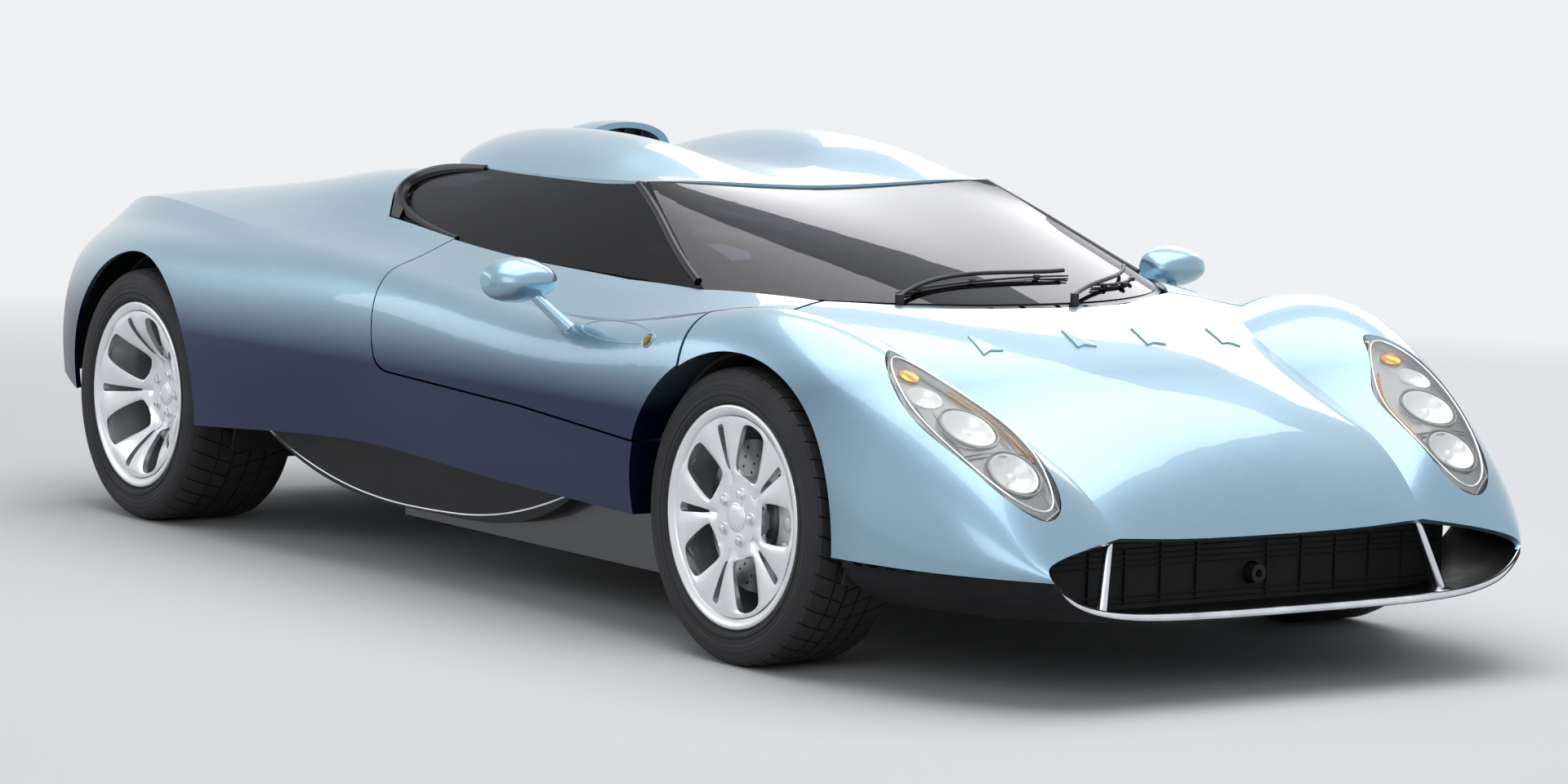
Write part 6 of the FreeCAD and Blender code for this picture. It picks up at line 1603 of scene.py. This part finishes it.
class SUPERCAR_OT_engine(bpy.types.Operator):
    """Builds the engine and gearbox: castings, covers, intakes, pipes and pulleys"""

    bl_idname = "supercar.engine"
    bl_label = "Engine and gearbox"

    def execute(self, context):
        case = ribbed("case", (BLOCK_MIDDLE, 0, 0.325), (0.60, 0.30, 0.23), 7)
        sump = ribbed("sump", (BLOCK_MIDDLE, 0, 0.213), (0.54, 0.26, 0.042), 9, 0.006)
        gearbox = turned("gearbox", [
            (0, 1.02), (0.150, 1.02), (0.142, 1.08), (0.110, 1.16), (0.098, 1.30), (0.118, 1.34),
            (0.118, 1.50), (0.10, 1.535), (0, 1.535)], 40)
        moved(spun(gearbox, math.pi / 2, "Z"), (0, 0, SHAFT_LEVEL))
        rings = []
        for x, reach in ((-1.025, 0.158), (-1.315, 0.127), (-1.425, 0.123)):
            ring = turned("ring", [(reach - 0.02, -0.006), (reach, -0.006), (reach, 0.006),
                                   (reach - 0.02, 0.006)], 40)
            rings.append(moved(spun(ring, math.pi / 2, "Z"), (x, 0, SHAFT_LEVEL)))
        gathered("engine_castings", [case, sump, gearbox, *rings], "cast_alloy", "engine_block",
                 angle=30)

        heads, covers, screws = [], [], []
        for side in (1, -1):
            way = Vector((0, side * math.sin(BANK_LEAN), math.cos(BANK_LEAN)))
            turn = (-side * BANK_LEAN, 0, 0)
            foot = Vector((BLOCK_MIDDLE, side * 0.03, 0.40))
            heads.append(bar("head", foot + way * 0.105, (0.57, 0.145, 0.11), 0.006, turn))
            cover = bar("cover", foot + way * 0.186, (0.56, 0.128, 0.052), 0.018, turn)
            bevelled(cover, 0.002, 1, 60)
            covers.append(cover)
            lie = Vector((0, way.z, -way.y))
            for step in range(-2, 3):
                middle = foot + way * 0.213 + AHEAD * 0.105 * step
                covers.append(bar("rib", middle, (0.012, 0.088, 0.004), 0.0015, turn))
            for step in range(6):
                for out in (-0.057, 0.057):
                    base = foot + way * 0.168 + lie * out + AHEAD * (0.25 - 0.1 * step)
                    screws.append(rod("screw", base, base + way * 0.012, 0.005, 6))
        gathered("cylinder_heads", heads, "cast_alloy")
        gathered("cam_covers", covers, "engine_alloy", material="cover_black")
        gathered("engine_screws", screws, "dark_steel", angle=0)

        intakes, pipes, tubes = [], [], []
        for side in (1, -1):
            box = bar("plenum", (BLOCK_MIDDLE, side * 0.062, 0.735), (0.60, 0.095, 0.075), 0.026)
            intakes.append(bevelled(box, 0.002, 1, 70))
            intakes.append(rod("throat", *sided(THROAT, side), 0.036, 32, 0.040))
            for x in CYLINDERS:
                intakes.append(wire("runner", [(x, side * out, up) for out, up in RUNNER], 0.019))
                pipes.append(wire("pipe", [
                    *((x - back, side * out, up) for back, out, up in PIPE),
                    (-1.12, side * 0.255, 0.33)], 0.0165))
            pipes.append(rod("collector", *sided(COLLECTOR, side), 0.040, 32, 0.030))
            pipes.append(wire("downpipe", sided(DOWNPIPE, side), 0.029))
            tubes.append(wire("hose", sided(HOSE, side), 0.013))
            tubes.append(wire("rail", sided(FUEL_RAIL, side), 0.0065))
        gathered("intake_runners", intakes, "engine_alloy")
        gathered("exhaust_manifolds", pipes, "pipe_steel")
        gathered("hoses", tubes, "satin_black")

        pulleys = []
        for y, z, radius in ((0.0, 0.27, 0.075), (0.10, 0.40, 0.048), (-0.11, 0.39, 0.055),
                             (0.0, 0.47, 0.042)):
            wheel = turned("pulley", [(0.012, -0.004), (0.012, 0.010), (radius - 0.012, 0.006),
                                      (radius, 0.012), (radius - 0.005, 0.006), (radius, 0.0),
                                      (radius - 0.005, -0.006), (radius, -0.012),
                                      (radius - 0.012, -0.006)], 40)
            pulleys.append(aimed(wheel, (-0.402, y, z), AHEAD))
        for y, z, radius in ((0.10, 0.40, 0.07), (-0.11, 0.39, 0.06)):
            body = turned("body", [(0, 0.0), (radius * 0.8, 0.0), (radius, 0.012),
                                   (radius, 0.075), (radius * 0.8, 0.09), (0, 0.09)], 40)
            pulleys.append(aimed(body, (-0.425, y, z), -AHEAD))
        gathered("pulleys_and_pumps", pulleys, "dark_steel", material="engine_alloy")
        return {"FINISHED"}


# Studio

CAMERA_PLACE = Vector((9.09503924, -6.49204419, 1.54349208))
CAMERA_YAW = 2.51645712
CAMERA_PITCH = -0.09728026
CAMERA_ROLL = 0.03118675
CAMERA_LENS = 104.683
# The floor's paper gives way to the backdrop between these distances.
BACKDROP = (3.0, 8.5)
# The floor curls up at its edge in steps of this turn, each with its rise and its spread.
CURL_STEPS = 6
CURL_TURN = 15
CURL_RISE = 3.2
CURL_SPREAD = 0.05
# Each soft light: its name, place, target, size and power.
LIGHTS = (
    ("overhead", (0.4, 0.3, 4.8), (0.0, 0.0, 0.5), (7.0, 5.0), 230),
    ("key", (6.0, -4.6, 3.4), (0.4, 0.0, 0.4), (5.0, 3.2), 70),
    ("fill", (-4.5, -5.5, 2.6), (-0.5, 0.0, 0.4), (4.0, 2.4), 40),
    ("rim", (-3.5, 5.0, 3.4), (0.0, 0.0, 0.6), (4.5, 2.6), 80),
)


def looked_at(tree):
    """One where the camera sees a surface, straight or in a reflection or through glass."""
    path = tree.nodes.new("ShaderNodeLightPath")
    seen = path.outputs["Is Camera Ray"]
    for output in ("Is Glossy Ray", "Is Transmission Ray"):
        seen = worked(tree, "MAXIMUM", seen, path.outputs[output])
    return seen


def make_floor():
    """Pale matt paper near the car, which runs out to an even pale backdrop."""
    material, tree, shader, place = blank("pale floor", {"Roughness": 0.9})
    tone = between(tree, cloud(tree, place, 0.4), (0.70, 0.71, 0.72), (0.74, 0.75, 0.76))
    tree.links.new(tone, shader.inputs["Base Color"])
    reach = tree.nodes.new("ShaderNodeVectorMath")
    reach.operation = "LENGTH"
    tree.links.new(place, reach.inputs[0])
    far = spread(tree, reach.outputs["Value"], 0.0, 1.0, *BACKDROP)
    seen = worked(tree, "MULTIPLY", far, looked_at(tree))
    glow = tree.nodes.new("ShaderNodeEmission")
    glow.inputs["Color"].default_value = (0.86, 0.88, 0.90, 1)
    blend = tree.nodes.new("ShaderNodeMixShader")
    tree.links.new(seen, blend.inputs["Fac"])
    tree.links.new(shader.outputs["BSDF"], blend.inputs[1])
    tree.links.new(glow.outputs["Emission"], blend.inputs[2])
    tree.links.new(blend.outputs["Shader"], tree.nodes["Material Output"].inputs["Surface"])
    return material


class SUPERCAR_OT_stage(bpy.types.Operator):
    """Sets up the pale floor, the soft lights and the camera"""

    bl_idname = "supercar.stage"
    bl_label = "Studio"

    def execute(self, context):
        look = context.scene.supercar
        only()
        bpy.ops.mesh.primitive_circle_add(vertices=96, radius=look.floor_radius, fill_type="NGON")
        floor = added("studio_floor")
        editing(floor)
        for step in range(CURL_STEPS):
            turn = math.radians(CURL_TURN * (step + 1))
            pick(floor, lambda edge: len(edge.link_faces) == 1, "EDGE")
            bpy.ops.mesh.extrude_edges_move(
                TRANSFORM_OT_translate={"value": (0, 0, CURL_RISE * math.sin(turn))})
            grow = 1 + CURL_SPREAD * math.cos(turn)
            bpy.ops.transform.resize(value=(grow, grow, 1), center_override=(0, 0, 0))
        only(floor)
        bpy.ops.object.shade_smooth()
        floor.data.materials.append(make_floor())

        world = bpy.data.worlds.new("Studio")
        context.scene.world = world
        world.use_nodes = True
        tree = world.node_tree
        back = tree.nodes["Background"]
        back.inputs["Color"].default_value = (0.93, 0.96, 1.0, 1)
        tree.links.new(spread(tree, looked_at(tree), 0.35, 0.9), back.inputs["Strength"])

        for name, place, target, size, power in LIGHTS:
            bpy.ops.object.light_add(type="AREA", location=place)
            lamp = bpy.context.object
            lamp.name = name
            lamp.data.shape = "RECTANGLE"
            lamp.data.size, lamp.data.size_y = size
            lamp.data.energy = power
            way = Vector(target) - Vector(place)
            lamp.rotation_euler = way.to_track_quat("-Z", "Y").to_euler()

        ahead = Vector((math.cos(CAMERA_PITCH) * math.cos(CAMERA_YAW),
                        math.cos(CAMERA_PITCH) * math.sin(CAMERA_YAW), math.sin(CAMERA_PITCH)))
        right = ahead.cross(UP).normalized()
        above = right.cross(ahead)
        across = math.cos(CAMERA_ROLL) * right + math.sin(CAMERA_ROLL) * above
        upright = math.cos(CAMERA_ROLL) * above - math.sin(CAMERA_ROLL) * right
        bpy.ops.object.camera_add()
        camera = bpy.context.object
        turn = Matrix((across, upright, -ahead)).transposed().to_4x4()
        camera.matrix_world = Matrix.Translation(CAMERA_PLACE) @ turn
        camera.data.lens = CAMERA_LENS
        camera.data.sensor_width = 36
        camera.data.clip_end = 200
        context.scene.camera = camera
        context.scene.view_settings.view_transform = "Standard"
        return {"FINISHED"}


PIECES = (
    SUPERCAR_OT_materials,
    SUPERCAR_OT_wheels,
    SUPERCAR_OT_brakes,
    SUPERCAR_OT_headlamps,
    SUPERCAR_OT_nose,
    SUPERCAR_OT_trim,
    SUPERCAR_OT_scoop,
    SUPERCAR_OT_tail,
    SUPERCAR_OT_seats,
    SUPERCAR_OT_controls,
    SUPERCAR_OT_engine,
    SUPERCAR_OT_stage,
)


class SUPERCAR_PT_sidebar(bpy.types.Panel):
    """Lists the pieces and the sizes that they are made to"""

    bl_idname = "SUPERCAR_PT_sidebar"
    bl_label = "Supercar"
    bl_space_type = "VIEW_3D"
    bl_region_type = "UI"
    bl_category = "Supercar"

    def draw(self, context):
        look = context.scene.supercar
        for name in SupercarLook.__annotations__:
            self.layout.prop(look, name)
        for piece in PIECES:
            self.layout.operator(piece.bl_idname)


CLASSES = (SupercarLook, *PIECES, SUPERCAR_PT_sidebar)


def register():
    for kind in CLASSES:
        bpy.utils.register_class(kind)
    bpy.types.Scene.supercar = bpy.props.PointerProperty(type=SupercarLook)


def unregister():
    del bpy.types.Scene.supercar
    for kind in reversed(CLASSES):
        bpy.utils.unregister_class(kind)


def main():
    register()
    for piece in PIECES:
        group, action = piece.bl_idname.split(".")
        getattr(getattr(bpy.ops, group), action)()


if __name__ == "__main__":
    main()
